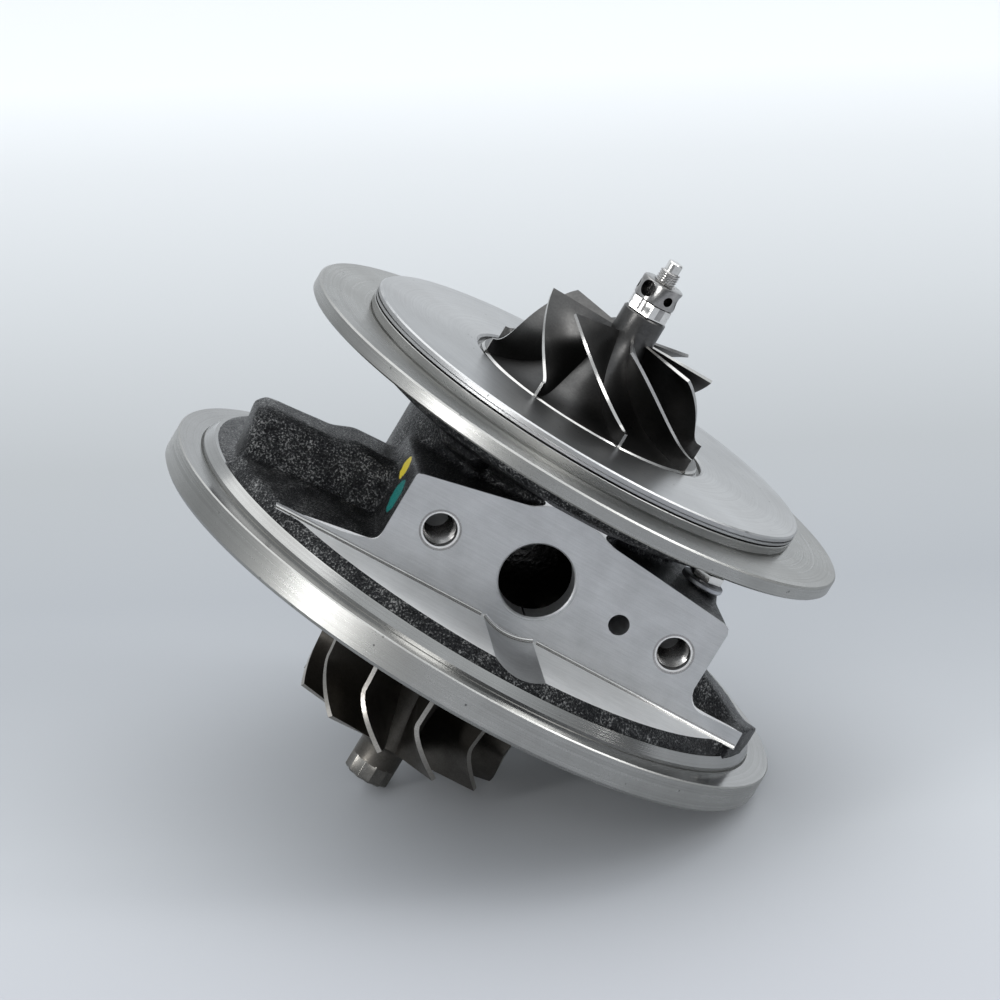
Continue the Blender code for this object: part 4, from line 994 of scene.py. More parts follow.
@dataclass(frozen=True)
class PadSize:
    """Sizes of the oil pad, in millimetres."""

    face: float = 41.2
    ledge: float = 13.3
    left: float = 36.0
    right: float = 44.4
    hole_height: float = 26.0
    drain_radius: float = 8.6
    groove_radius: float = 14.2
    feed_offset: float = 21.5
    feed_radius: float = 2.45
    thread_places: Pair = (-25.0, 36.0)
    thread_radius: float = 3.4
    chamfer_radius: float = 4.4
    thread_depth: float = 15.0

    def roof(self) -> list[Pair]:
        """Give the pad's outline from its left foot over the top to its right foot.

        Returns:
            Points of x and height.
        """
        left_fillet = arc((-self.left - 2.2, 18.9), 2.2, -90, 0, 8)
        right_fillet = arc((self.right + 4.6, 21.3), 4.6, 180, 270, 10)
        crown = [(-self.left, 34.2), (-self.left + 0.35, 35.05), (-self.left + 1.2, 35.4),
                 (-9.7, 40.6), (-6.8, 42.2), (-3.7, 43.3), (1.5, 43.2), (6.9, 42.4),
                 (10.3, 41.1), (21.3, 40.0), (self.right - 2.0, 37.7), (self.right - 0.6, 37.1),
                 (self.right, 35.7)]
        return left_fillet + crown + right_fillet


@dataclass(frozen=True)
class PlugSize:
    """Sizes of the gallery plug, its washer and its boss, in millimetres."""

    place: Triple = (38.8, -21.0, 0.0)
    boss_radius: float = 4.8
    boss_bottom: float = 25.0
    boss_top: float = 38.5
    shank_radius: float = 2.6
    shank_bottom: float = 30.6
    washer_bore: float = 2.9
    washer_radius: float = 5.2
    washer_bottom: float = 38.87
    washer_top: float = 40.13
    hex_radius: float = 4.3
    hex_bottom: float = 40.45
    hex_top: float = 42.65
    crown_radius: float = 3.3
    crown_top: float = 42.9


@dataclass(frozen=True)
class CastingSize:
    """Sizes of the rough casting, in millimetres."""

    neck_radius: float = 36.0
    dish_radius: float = 50.0
    boss_radius: float = 71.1
    plateau_start: float = -166.5
    plateau_end: float = -20.0
    block_left: float = 69.2
    block_bottom: float = 15.4
    block_top: float = 26.2
    block_depth: float = 12.0
    block_front_left: float = 15.0
    block_front_right: float = 25.0
    wedge: tuple[Triple, ...] = (
        (41.8, 3.9, 3.9), (41.2, 3.9, 3.9), (37.0, 11.6, 4.4), (30.2, 12.2, 3.7), (20.2, 11.2, 1.4),
        (10.2, 10.2, -1.0), (0.2, 9.2, -3.1))
    lumps: tuple[Triple, ...] = ((45.2, -139, 15), (40.6, -121, 19))
    lug_angle: float = 76.0
    lug_half_width: float = 17.0
    lug_reach: float = 60.0
    lug_top: float = 28.0
    bolt_circle: float = 43.0
    bolt_angles: tuple[float, ...] = (36.0, 76.0, 116.0)
    bolt_boss: float = 6.6
    bolt_hole: float = 2.8
    bolt_seat: float = 41.6
    voxel: float = 0.85

    def bolt_rods(self, name: str, radius: float, low: float, high: float) -> list[Piece]:
        """Stand a bar at each bolt that holds the backplate.

        Args:
            name: Name of the bars.
            radius: Their radius.
            low: Height of their lower ends.
            high: Height of their upper ends.

        Returns:
            The bars.
        """
        bars = []
        for angle in self.bolt_angles:
            way = math.radians(angle)
            bars.append(Bench.rod(name, radius, on_circle(self.bolt_circle, way, low),
                                  on_circle(self.bolt_circle, way, high)))
        return bars


@dataclass(frozen=True)
class Casting:
    """The rough casting with its milled pad, drilled and bored."""

    finishes: Finishes
    pad: PadSize = PadSize()
    plug: PlugSize = PlugSize()
    size: CastingSize = CastingSize()

    def barrel(self) -> list[Piece]:
        """Turn the neck, the dish and the boss, with the raised front of the boss.

        Returns:
            The solids.
        """
        s = self.size
        body = Bench.lathe("housing_casting", [
            (5.0, 4.7), (33.5, 4.7), (33.5, 7.6), (s.boss_radius, 7.6), (s.boss_radius, 10.7),
            (55.1, 12.3), (39.5, 13.8), (37.0, 15.6), (s.neck_radius, 19.2), (s.neck_radius, 40.0),
            (37.4, 42.8), (44.0, 43.5), (49.0, 45.0), (s.dish_radius, 47.0),
            (s.dish_radius, 52.4), (5.0, 52.4)], 144)
        sweep = math.radians(s.plateau_end - s.plateau_start)
        plateau = Bench.lathe("plateau", [
            (18.0, 7.7), (s.boss_radius - 0.1, 7.7), (s.boss_radius - 0.1, 10.3), (70.0, 13.9),
            (55.1, 16.9), (39.5, 18.3), (18.0, 21.8)], 72, math.radians(s.plateau_start), sweep)
        slope = Bench.lathe("slope", [
            (75.0, 9.6), (72.4, 9.6), (68.6, 13.3), (68.6, 16.5), (75.0, 16.5)], 64,
            math.radians(-142), math.radians(104))
        lumps = []
        for reach, start, turn in s.lumps:
            lumps.append(Bench.lathe("lump", [
                (33.0, 38.6), (reach - 3.2, 40.2), (reach, 42.4), (reach, 46.0), (33.0, 46.0)], 12,
                math.radians(start), math.radians(turn)))
        bosses = s.bolt_rods("bolt_boss", s.bolt_boss, s.bolt_seat, s.bolt_seat + 3.9)
        return [body, Bench.combine(plateau, slope)] + lumps + bosses

    def pad_block(self) -> Piece:
        """Loft the block behind the oil pad.

        Returns:
            The solid.
        """
        pad = self.pad
        outline = [(-pad.left - 2.2, 11.0)] + pad.roof() + [(pad.right + 4.6, 11.0)]
        rings = []
        for depth, left, right in ((-43.0, 1.0, 1.0), (-14.4, 1.0, 1.0), (4.1, 0.94, 0.78)):
            rings.append([(x * (left if x < 0 else right), depth, z) for x, z in outline])
        return Bench.loft("pad_block", rings)

    def side_block(self) -> Piece:
        """Loft the block on the left of the neck.

        Returns:
            The solid.
        """
        s = self.size
        inner, edge = 33.0, 2.2
        high = s.block_top
        top = [(s.block_left, high - edge), (s.block_left - edge, high),
               (s.block_left - 18, high + 1.4),
               (s.block_left - 23, high + 3.4), (inner, high + 3.9)]
        rings = []
        for depth, shrink in ((0.0, edge), (edge, 0.0), (s.block_depth - edge, 0.0),
                              (s.block_depth, edge)):
            foot = (s.block_bottom, s.block_bottom + 2.5) if depth == 0.0 else (8.1, 8.1)
            ring = []
            for x, z in [(s.block_left - edge, foot[0])] + top + [(inner, foot[1])]:
                share = (s.block_left - x) / (s.block_left - inner)
                fade = 1.0 - depth / s.block_depth
                slant = (s.block_front_right - s.block_front_left) * share * fade
                lowered = z - 0.5 * shrink if z > s.block_bottom + 5.4 else z
                ring.append((-min(x, s.block_left - 0.5 * shrink),
                             depth - s.block_front_left - slant, lowered))
            rings.append(ring)
        return Bench.loft("side_block", rings)

    def side_wedge(self) -> Piece:
        """Loft the wedge on the right of the pad.

        Returns:
            The solid.
        """
        pad = self.pad
        rings = []
        for depth, crown, toe in self.size.wedge:
            tip = math.sqrt(72.0 ** 2 - depth ** 2)
            base = min(9.3, pad.ledge + toe - 1.0)
            rings.append([(25.0, -depth, base), (25.0, -depth, pad.ledge + crown),
                          (pad.right, -depth, pad.ledge + crown),
                          (tip - 3.4, -depth, pad.ledge + toe + 0.2),
                          (tip, -depth, pad.ledge + toe), (tip, -depth, base)])
        return Bench.loft("side_wedge", rings)

    def rear_lug(self) -> Piece:
        """Loft the lug on the back of the neck.

        Returns:
            The solid.
        """
        s = self.size
        turn = Matrix.Rotation(math.radians(s.lug_angle), 3, "Z")
        edge, half = 3.0, s.lug_half_width
        rings = []
        for height, reach in ((8.1, s.lug_reach + edge), (13.4, s.lug_reach),
                              (s.lug_top - edge, s.lug_reach),
                              (s.lug_top, s.lug_reach - edge)):
            outline = [(18.0, -half), (reach - edge, -half),
                       (reach, edge - half), (reach, half - edge),
                       (reach - edge, half), (18.0, half)]
            rings.append([turn @ Vector((x, y, height)) for x, y in outline])
        return Bench.loft("rear_lug", rings)

    def bored_core(self) -> Piece:
        """Turn the space along the shaft, with the circlip grooves.

        Returns:
            The cutter.
        """
        points = [(0.0, -1.5), (36.3, -1.5), (36.3, 1.1), (33.0, 1.1), (32.0, 4.0), (7.5, 4.0),
                  (7.5, 8.8), (6.6, 9.1)]
        for bottom in (12.5, 23.0, 29.0, 39.5):
            points += [(6.6, bottom), (7.4, bottom), (7.4, bottom + 1.5), (6.6, bottom + 1.5)]
        points += [(6.6, 41.8), (10.2, 41.8), (10.2, 43.9), (24.0, 43.9), (24.0, 51.0),
                   (48.6, 51.0), (48.6, 58.1), (0.0, 58.1)]
        return Bench.dress(Bench.lathe("bored_core", points, 96), self.finishes.turned)

    def bores(self) -> list[Piece]:
        """Make the cutters that come in from the pad's face.

        Returns:
            The cutters.
        """
        pad = self.pad
        z = pad.hole_height
        front = -pad.face
        half, edge = 17.0, 5.0
        outline = [(-half + edge, 13.0), (half - edge, 13.0), (half, 18.0),
                   (half, 34.0), (half - edge, 39.0),
                   (-half + edge, 39.0), (-half, 34.0), (-half, 18.0)]
        chamber = Bench.loft("chamber", [[(x, y, h) for x, h in outline] for y in (-35.0, -13.5)])
        # The chamber is lined with the near-black cavity finish as painted shade.
        tools = [Bench.dress(chamber, self.finishes.cavity)]
        tools.append(Bench.rod("clearance", pad.groove_radius, (0, -80, z),
                               (0, front + 0.3, z), 160))
        tools.append(Bench.rod("drain", pad.drain_radius, (0, front - 2, z), (0, -15, z), 128))
        tools.append(Bench.rod("drain_mouth", pad.drain_radius + 1.7, (0, front - 1, z),
                               (0, front + 0.7, z), 128,
                               tip=pad.drain_radius - 0.1))
        tools.append(Bench.rod("shaft_port", 2.2, (0, -15, 26.5), (0, 0, 26.5)))
        tools.append(Bench.rod("feed", pad.feed_radius, (pad.feed_offset, front - 2, z),
                               (pad.feed_offset, -20, z)))
        for x in pad.thread_places:
            tools.append(Bench.rod("tapping", pad.thread_radius + 0.5, (x, front - 2, z),
                                   (x, front + pad.thread_depth, z)))
        for tool in tools[1:]:
            Bench.dress(tool, self.finishes.milled)
        return tools

    def build(self) -> None:
        """Fuse the solids, soften them as a casting, then machine them."""
        s, pad, plug = self.size, self.pad, self.plug
        plug_boss = Bench.rod("plug_boss", plug.boss_radius, (*plug.place[:2], plug.boss_bottom),
                              (*plug.place[:2], plug.boss_top))
        solids = self.barrel() + [self.pad_block(), self.side_block(), self.side_wedge(),
                                  self.rear_lug(), plug_boss]
        casting = Bench.join(solids)
        Bench.apply(casting, "REMESH", mode="VOXEL", voxel_size=s.voxel, adaptivity=0.0)
        Bench.apply(casting, "SMOOTH", factor=0.5, iterations=3)
        Bench.dress(casting, self.finishes.casting)
        far = 95.0
        corners = [(-far, pad.ledge), (far, pad.ledge), (far, 43.4), (-far, 43.4)]
        ends = (-far, -pad.face + 0.25)
        milling = Bench.loft("milling", [[(x, y, z) for x, z in corners] for y in ends])
        # The milling cutter passes the lighter ledge finish, a painted light, to the faces it cuts.
        for tool in [Bench.dress(milling, self.finishes.ledge), self.bored_core()] + self.bores():
            Bench.combine(casting, tool)
        for hole in s.bolt_rods("bolt_hole", s.bolt_hole, 38.0, 53.0):
            Bench.combine(casting, Bench.dress(hole, self.finishes.milled))
        Bench.seat(casting, Body.HOUSING, Slot.CAST_IRON, "bearing_housing", crease=40.0)


@dataclass(frozen=True)
class OilPad:
    """The milled face of the oil pad, its fillets and its threads."""

    finishes: Finishes
    size: PadSize = PadSize()

    def face(self) -> None:
        """Mill the flat face with all its holes."""
        s = self.size
        front, back, z = -s.face - 0.02, -s.face + 0.5, s.hole_height
        left = [(-59.6, s.ledge - 0.3), (-59.9, 14.1), (-50.0, 14.6), (-44.0, 15.2), (-40.5, 16.0)]
        right = [(59.7, 17.2), (59.9, s.ledge - 0.3)]
        notch = [(7.0, s.ledge - 0.3), (-7.0, s.ledge - 0.3)]
        outline = left + s.roof() + right + notch
        face = Bench.loft("oil_pad_face", [[(x, y, h) for x, h in outline] for y in (front, back)])
        Bench.dress(face, self.finishes.milled, self.finishes.bright)
        tools = [Bench.rod("drain", s.drain_radius + 0.75, (0, front - 2, z),
                           (0, back + 2, z), 160),
                 Bench.rod("feed", s.feed_radius, (s.feed_offset, front - 2, z),
                           (s.feed_offset, back + 2, z), 96)]
        for x in s.thread_places:
            tools.append(Bench.rod("mouth", s.chamfer_radius, (x, front - 2, z),
                                   (x, back + 2, z), 96))
        for tool in tools:
            Bench.combine(face, Bench.dress(tool, self.finishes.milled))
        # The bevelled edges take the bright steel finish: a painted highlight along the edges of
        # the milled iron.
        Bench.apply(face, "BEVEL", width=0.28, segments=1, limit_method="ANGLE",
                    angle_limit=math.radians(50), material=1)
        Bench.seat(face, Body.HOUSING, Slot.MACHINED_IRON, "bearing_housing", crease=20.0)

    def fillets(self) -> None:
        """Run the small concave fillet between the face and the ledge."""
        s = self.size
        radius = 0.9
        front = -s.face - 0.01
        curve = arc((front - radius, s.ledge + radius), radius, 0, -90, 6)
        foot = [(front - radius, s.ledge - 0.2), (front + 0.2, s.ledge - 0.2)]
        section = [(front + 0.2, s.ledge + radius)] + curve + foot
        pieces = [Bench.loft("pad_fillet", [[(x, y, z) for y, z in section] for x in (start, end)])
                  for start, end in ((-59.7, -7.2), (7.2, 59.7))]
        reach = s.groove_radius
        curve = arc((reach - radius, radius), radius, -90, 0, 6)
        profile = [(reach - radius, -0.2), (reach + 0.2, -0.2), (reach + 0.2, radius)] + curve[::-1]
        ring = Bench.lathe("groove_fillet", profile, 40, math.radians(-117), math.radians(54))
        place = Matrix.Translation((0, front, s.hole_height))
        ring.matrix_world = place @ Matrix.Rotation(math.pi / 2, 4, "X")
        Bench.take(ring)
        bpy.ops.object.transform_apply(location=True, rotation=True, scale=True)
        fillet = Bench.join(pieces + [ring])
        # The fillets take the bright steel finish: a painted highlight line between the face and
        # the ledge.
        Bench.dress(fillet, self.finishes.bright)
        Bench.seat(fillet, Body.HOUSING, Slot.MACHINED_IRON, "bearing_housing", crease=60.0)

    def threads(self) -> None:
        """Cut the countersinks and wind the threads of both screw holes."""
        s = self.size
        for name, x in zip(("pad_thread_left", "pad_thread_right"), s.thread_places):
            back, outer = s.chamfer_radius + 0.4, s.chamfer_radius - 0.05
            inner = s.thread_radius + 0.35
            rim = [(back, -0.5), (outer, -0.5), (outer, 0.0), (inner, 1.3), (inner, 2.0),
                   (back, 2.0)]
            chamfer = Bench.lathe(name, rim, 96)
            coil = screw_thread("coil", s.thread_radius + 0.55, 0.6, 1.25, 10, inward=True)
            coil.data.transform(Matrix.Translation((0, 0, 1.0)))
            hole = Bench.join([chamfer, coil])
            place = Matrix.Translation((x, 0.45 - s.face, s.hole_height))
            hole.data.transform(place @ Matrix.Rotation(-math.pi / 2, 4, "X"))
            Bench.dress(hole, self.finishes.thread)
            Bench.seat(hole, Body.HOUSING, Slot.MACHINED_IRON, "bearing_housing")

    def build(self) -> None:
        """Build the pad's face, fillets and threads."""
        self.face()
        self.fillets()
        self.threads()


@dataclass(frozen=True)
class GalleryPlug:
    """The hexagonal plug on its sealing washer."""

    finishes: Finishes
    size: PlugSize = PlugSize()

    def build(self) -> None:
        """Build the washer and the plug."""
        s = self.size
        place = Matrix.Translation(s.place)
        washer = Bench.lathe("plug_washer", [
            (s.washer_bore, s.washer_bottom), (s.washer_radius - 0.2, s.washer_bottom),
            (s.washer_radius, s.washer_bottom + 0.23), (s.washer_radius, s.washer_top - 0.23),
            (s.washer_radius - 0.2, s.washer_top), (s.washer_bore, s.washer_top)], 96)
        washer.data.transform(place)
        Bench.dress(washer, self.finishes.washer)
        Bench.seat(washer, Body.HOUSING, Slot.ALUMINIUM, "gallery_plug_washer")
        head = Bench.rod("plug_head", s.hex_radius, (0, 0, s.hex_bottom), (0, 0, s.hex_top), 6)
        Bench.ease(head, 0.3, 3)
        crown = Bench.lathe("crown", [
            (0.0, s.crown_top - 0.5), (s.crown_radius, s.crown_top - 0.5),
            (s.crown_radius, s.crown_top - 0.2), (s.crown_radius - 0.2, s.crown_top),
            (0.0, s.crown_top)], 64)
        shank = Bench.rod("shank", s.shank_radius, (0, 0, s.shank_bottom),
                          (0, 0, s.hex_bottom + 0.25))
        plug = Bench.join([head, crown, shank])
        plug.data.transform(place)
        Bench.dress(plug, self.finishes.bright)
        Bench.seat(plug, Body.HOUSING, Slot.STEEL, "oil_gallery_plug")


@dataclass(frozen=True)
class BackplateSize:
    """Sizes of the backplate, in millimetres; a groove is its radius, bottom and top."""

    bore: float = 7.5
    spigot_radius: float = 48.0
    spigot_bottom: float = 51.35
    seal_groove: Triple = (46.5, 52.9, 55.3)
    rim_bottom: float = 56.9
    rim_radius: float = 55.8
    rim_top: float = 59.2
    rim_groove: Triple = (55.2, 57.7, 58.1)
    pocket_radius: float = 29.8
    pocket_floor: float = 57.5
    hub_radius: float = 12.0
    hub_top: float = 57.3
    bolt_top: float = 55.9


@dataclass(frozen=True)
class Backplate:
    """The turned compressor backplate with the pocket behind the wheel."""

    finishes: Finishes
    size: BackplateSize = BackplateSize()
    casting: CastingSize = CastingSize()

    def build(self) -> None:
        """Turn the plate and drill its bolt holes."""
        s = self.size
        seal_radius, seal_bottom, seal_top = s.seal_groove
        groove_radius, groove_bottom, groove_top = s.rim_groove
        plate = Bench.lathe("backplate", [
            (s.bore, s.spigot_bottom), (s.spigot_radius - 0.3, s.spigot_bottom),
            (s.spigot_radius, s.spigot_bottom + 0.25), (s.spigot_radius, seal_bottom),
            (seal_radius, seal_bottom), (seal_radius, seal_top), (s.spigot_radius, seal_top),
            (s.spigot_radius, s.rim_bottom), (s.rim_radius - 0.3, s.rim_bottom),
            (s.rim_radius, s.rim_bottom + 0.2), (s.rim_radius, groove_bottom),
            (groove_radius, groove_bottom + 0.05), (groove_radius, groove_top - 0.05),
            (s.rim_radius, groove_top), (s.rim_radius, s.rim_top - 0.35),
            (s.rim_radius - 0.35, s.rim_top), (s.pocket_radius + 0.6, s.rim_top),
            (s.pocket_radius, s.rim_top - 0.4), (s.pocket_radius, s.pocket_floor + 0.4),
            (s.pocket_radius - 0.4, s.pocket_floor), (s.hub_radius, s.pocket_floor),
            (s.hub_radius - 0.4, s.hub_top), (s.bore + 0.3, s.hub_top),
            (s.bore, s.hub_top - 0.2)], 288)
        Bench.dress(plate, self.finishes.backplate)
        bolt = self.casting
        for hole in bolt.bolt_rods("bolt_hole", bolt.bolt_hole, s.spigot_bottom - 1.35, s.bolt_top):
            Bench.combine(plate, Bench.dress(hole, self.finishes.backplate))
        Bench.seat(plate, Body.HOUSING, Slot.MACHINED_IRON, "compressor_backplate",
                   turned=True, crease=20.0)


@dataclass(frozen=True)
class BladeSet:
    """Sizes of a wheel's blades, in millimetres and degrees."""

    hub: Sequence[Pair]
    shroud: Sequence[Pair]
    turns: Sequence[float]
    count: int
    first: float
    thickness: float
    sink: float = 0.9

    def make(self, name: str, skin: Material, edge: Material) -> list[Piece]:
        """Lay one blade as a grid, thicken it and copy it round the hub.

        Args:
            name: Name of the blades.
            skin: Finish of the faces.
            edge: Finish of the thin edges.

        Returns:
            All blades.
        """
        rows = []
        for share in [i / 7 for i in range(8)]:
            row = []
            for (near_r, near_z), (far_r, far_z), angle in zip(self.hub, self.shroud, self.turns):
                way = Vector((far_r - near_r, far_z - near_z))
                spot = Vector((near_r,
                               near_z)) + way * share - way.normalized() * self.sink * (1 - share)
                row.append(on_circle(spot.x, math.radians(self.first + angle), spot.y))
            rows.append(row)
        blade = Bench.dress(Bench.sheet(name, rows), skin, edge)
        Bench.apply(blade, "SOLIDIFY", thickness=self.thickness, offset=0.0, use_rim=True,
                    material_offset_rim=1,
                    use_even_offset=True)
        Bench.close_up(blade)
        step = math.tau / self.count
        return [blade] + [Bench.copy(blade, step * i) for i in range(1, self.count)]


@dataclass(frozen=True)
class CompressorSize:
    """Sizes of the compressor wheel and its nut, in millimetres and degrees."""

    blades: int = 8
    first_blade: float = -9.4
    wrap: float = 61.0
    thickness: float = 0.7
    stations: int = 30
    bore: float = 3.05
    boss_radius: float = 5.4
    blade_top: float = 78.0
    boss_top: float = 83.8
    rim_radius: float = 28.8
    rim_bottom: float = 57.8
    rim_top: float = 59.2
    eye_radius: float = 21.2
    exit_top: float = 62.5
    collar_bottom: float = 84.1
    collar_top: float = 87.2
    collar_radius: float = 5.6
    hex_radius: float = 5.45
    hex_turn: float = -6.0
    cup_bore: float = 2.45
    cup_radius: float = 5.1
    cup_top: float = 92.2
    drillings: tuple[Triple, ...] = ((-136.0, 1.95, 89.9), (-68.0, 1.15, 89.4))


@dataclass(frozen=True)
class CompressorWheel:
    """The dark compressor wheel with its nut."""

    finishes: Finishes
    size: CompressorSize = CompressorSize()

    def wheel(self) -> None:
        """Turn the hub and set the blades on it."""
        s = self.size
        hub = ellipse_path((s.boss_radius, s.blade_top),
                           (s.rim_radius, s.rim_top), True, s.stations)
        shroud = ellipse_path((s.eye_radius, s.blade_top),
                              (s.rim_radius, s.exit_top), True, s.stations)
        step = 0.5 * math.pi / (s.stations - 1)
        turns = [s.wrap * math.sin(step * i) ** 0.9 for i in range(s.stations)]
        back = [(s.bore, s.boss_top - 0.3), (s.bore, s.rim_bottom),
                (s.rim_radius - 0.2, s.rim_bottom),
                (s.rim_radius, s.rim_bottom + 0.2), (s.rim_radius, s.rim_top - 0.45),
                (s.rim_radius - 0.5, s.rim_top + 0.02)]
        boss = [(s.boss_radius, s.boss_top - 0.3), (s.boss_radius - 0.3, s.boss_top),
                (s.bore + 0.3, s.boss_top)]
        body = Bench.lathe("compressor_wheel_body", back + hub[-2::-1] + boss, 192)
        Bench.dress(body, self.finishes.wheel, self.finishes.edge)
        # The rim and the blades' edges take the light edge finish as a painted highlight.
        Bench.mark(body, 1, s.rim_bottom + 0.4, s.rim_radius - 0.4)
        blades = BladeSet(hub, shroud, turns, s.blades, s.first_blade, s.thickness).make(
            "compressor_blade", self.finishes.wheel, self.finishes.edge)
        Bench.seat(Bench.join([body] + blades), Body.ROTOR, Slot.ALUMINIUM,
                   "compressor_wheel", crease=35.0)

    def collar(self) -> Piece:
        """Turn the nut's collar, mill its hexagon and bore it.

        Returns:
            The collar.
        """
        s = self.size
        radius, low, high = s.collar_radius, s.collar_bottom, s.collar_top
        collar = Bench.lathe("nut_collar", [
            (0.0, low), (radius, low), (radius, low + 1.3), (radius - 0.45, low + 1.4),
            (radius - 0.45, low + 1.6), (radius, low + 1.7), (radius, high - 0.3),
            (radius - 0.4, high), (0.0, high)], 96)
        hexagon = Bench.rod("hexagon", s.hex_radius, (0, 0, low - 0.1), (0, 0, high - 0.1), 6)
        hexagon.data.transform(Matrix.Rotation(math.radians(s.hex_turn), 4, "Z"))
        Bench.dress(Bench.combine(collar, hexagon, "INTERSECT"), self.finishes.bright)
        bore = Bench.rod("nut_bore", s.bore + 0.15, (0, 0, low - 1.1), (0, 0, high + 0.8), 96)
        return Bench.combine(collar, Bench.dress(bore, self.finishes.thread))

    def cup(self) -> Piece:
        """Turn the nut's round body and drill it.

        Returns:
            The body.
        """
        s = self.size
        radius, low, top = s.cup_radius, s.collar_bottom + 0.3, s.cup_top
        cup = Bench.lathe("nut_body", [
            (s.cup_bore, low), (radius - 0.3, low), (radius - 0.3, s.collar_top - 0.1),
            (radius, s.collar_top + 0.2), (radius, top - 0.5), (radius - 0.15, top - 0.15),
            (radius - 0.5, top), (s.cup_bore + 0.45, top), (s.cup_bore, top - 0.4)], 128)
        Bench.dress(cup, self.finishes.nut)
        for third in range(3):
            for start, hole, height in s.drillings:
                way = math.radians(start + 120 * third)
                # Each drilling gets the near-black cavity finish, as painted shade.
                tool = Bench.rod("drilling", hole, on_circle(3.0, way, height),
                                 on_circle(7.0, way, height), 64)
                Bench.combine(cup, Bench.dress(tool, self.finishes.cavity))
        return cup

    def build(self) -> None:
        """Build the wheel and the nut."""
        self.wheel()
        Bench.seat(Bench.join([self.collar(), self.cup()]), Body.ROTOR, Slot.STEEL, "shaft_nut")


@dataclass(frozen=True)
class ShaftSize:
    """Sizes of the shaft, in millimetres; a groove is its radius, bottom and top."""

    bottom: float = -0.6
    land_radius: float = 7.2
    land_top: float = 8.5
    ring_groove: Triple = (6.1, 4.0, 5.7)
    journal_radius: float = 4.0
    waist: Triple = (3.5, 24.0, 29.5)
    shoulder: float = 42.1
    thin_radius: float = 3.0
    stub_radius: float = 2.2
    stub_bottom: float = 84.1
    stub_top: float = 95.0
    tip_radius: float = 1.9
    top: float = 97.6
    flat_reach: float = 1.556
    flat_bottom: float = 95.3
    thread_bottom: float = 87.0
    thread_pitch: float = 0.6
    thread_turns: int = 13


@dataclass(frozen=True)
class Shaft:
    """The shaft with its threaded stub and flatted end."""

    finishes: Finishes
    size: ShaftSize = ShaftSize()

    def build(self) -> None:
        """Turn the shaft, cut its flats and wind its thread."""
        s = self.size
        groove_radius, groove_bottom, groove_top = s.ring_groove
        waist_radius, waist_bottom, waist_top = s.waist
        shaft = Bench.lathe("shaft", [
            (0, s.bottom), (s.land_radius, s.bottom), (s.land_radius, groove_bottom),
            (groove_radius, groove_bottom), (groove_radius, groove_top),
            (s.land_radius, groove_top), (s.land_radius, s.land_top),
            (s.journal_radius, s.land_top), (s.journal_radius, waist_bottom),
            (waist_radius, waist_bottom + 0.5), (waist_radius, waist_top - 0.5),
            (s.journal_radius, waist_top), (s.journal_radius, s.shoulder),
            (s.thin_radius, s.shoulder), (s.thin_radius, s.stub_bottom - 1.0),
            (s.stub_radius, s.stub_bottom), (s.stub_radius, s.stub_top),
            (s.tip_radius, s.stub_top + 0.2), (s.tip_radius, s.top - 0.3),
            (s.tip_radius - 0.3, s.top), (0, s.top)], 96)
        Bench.dress(shaft, self.finishes.bright)
        width, depth, height = 4.0, 8.0, 3.2
        for side in (-1, 1):
            Bench.clear()
            bpy.ops.mesh.primitive_cube_add(
                size=1, location=(side * (s.flat_reach + width / 2), 0, s.flat_bottom + height / 2),
                scale=(width, depth, height))
            Bench.combine(shaft, Bench.dress(bpy.context.object, self.finishes.bright))
        coil = screw_thread("stub_thread", s.stub_radius - 0.05, 0.3,
                            s.thread_pitch, s.thread_turns)
        coil.data.transform(Matrix.Translation((0, 0, s.thread_bottom)))
        Bench.dress(coil, self.finishes.thread)
        Bench.seat(Bench.join([shaft, coil]), Body.ROTOR, Slot.STEEL, "rotor_shaft")


@dataclass(frozen=True)
class TurbineSize:
    """Sizes of the turbine wheel and the heat shield, in millimetres and degrees."""

    blades: int = 11
    first_blade: float = -127.8
    wrap: float = 23.5
    wrap_start: float = -20.5
    wrap_length: float = 10.2
    thickness: float = 1.1
    sink: float = 1.2
    stations: int = 30
    rim_radius: float = 28.8
    rim_bottom: float = -2.8
    rim_top: float = -1.2
    tip_bottom: float = -10.8
    exit_radius: float = 25.8
    exit_bottom: float = -30.7
    hub_radius: float = 7.3
    hub_bottom: float = -34.5
    neck_radius: float = 5.6
    neck_bottom: float = -40.3
    face_top: float = -0.9
    nose_bottom: float = -44.6
    nose_top: float = -40.0
    nose_crest: float = 5.8
    nose_notch: float = 5.25
    nose_points: int = 12
    shield: Profile = ((9.6, 2.6), (31.0, 2.6), (31.35, 2.3), (31.8, 0.3), (32.3, 0.0),
                       (36.0, 0.0), (36.0, 0.8),
                       (32.6, 0.8), (31.6, 3.4), (9.6, 3.4))


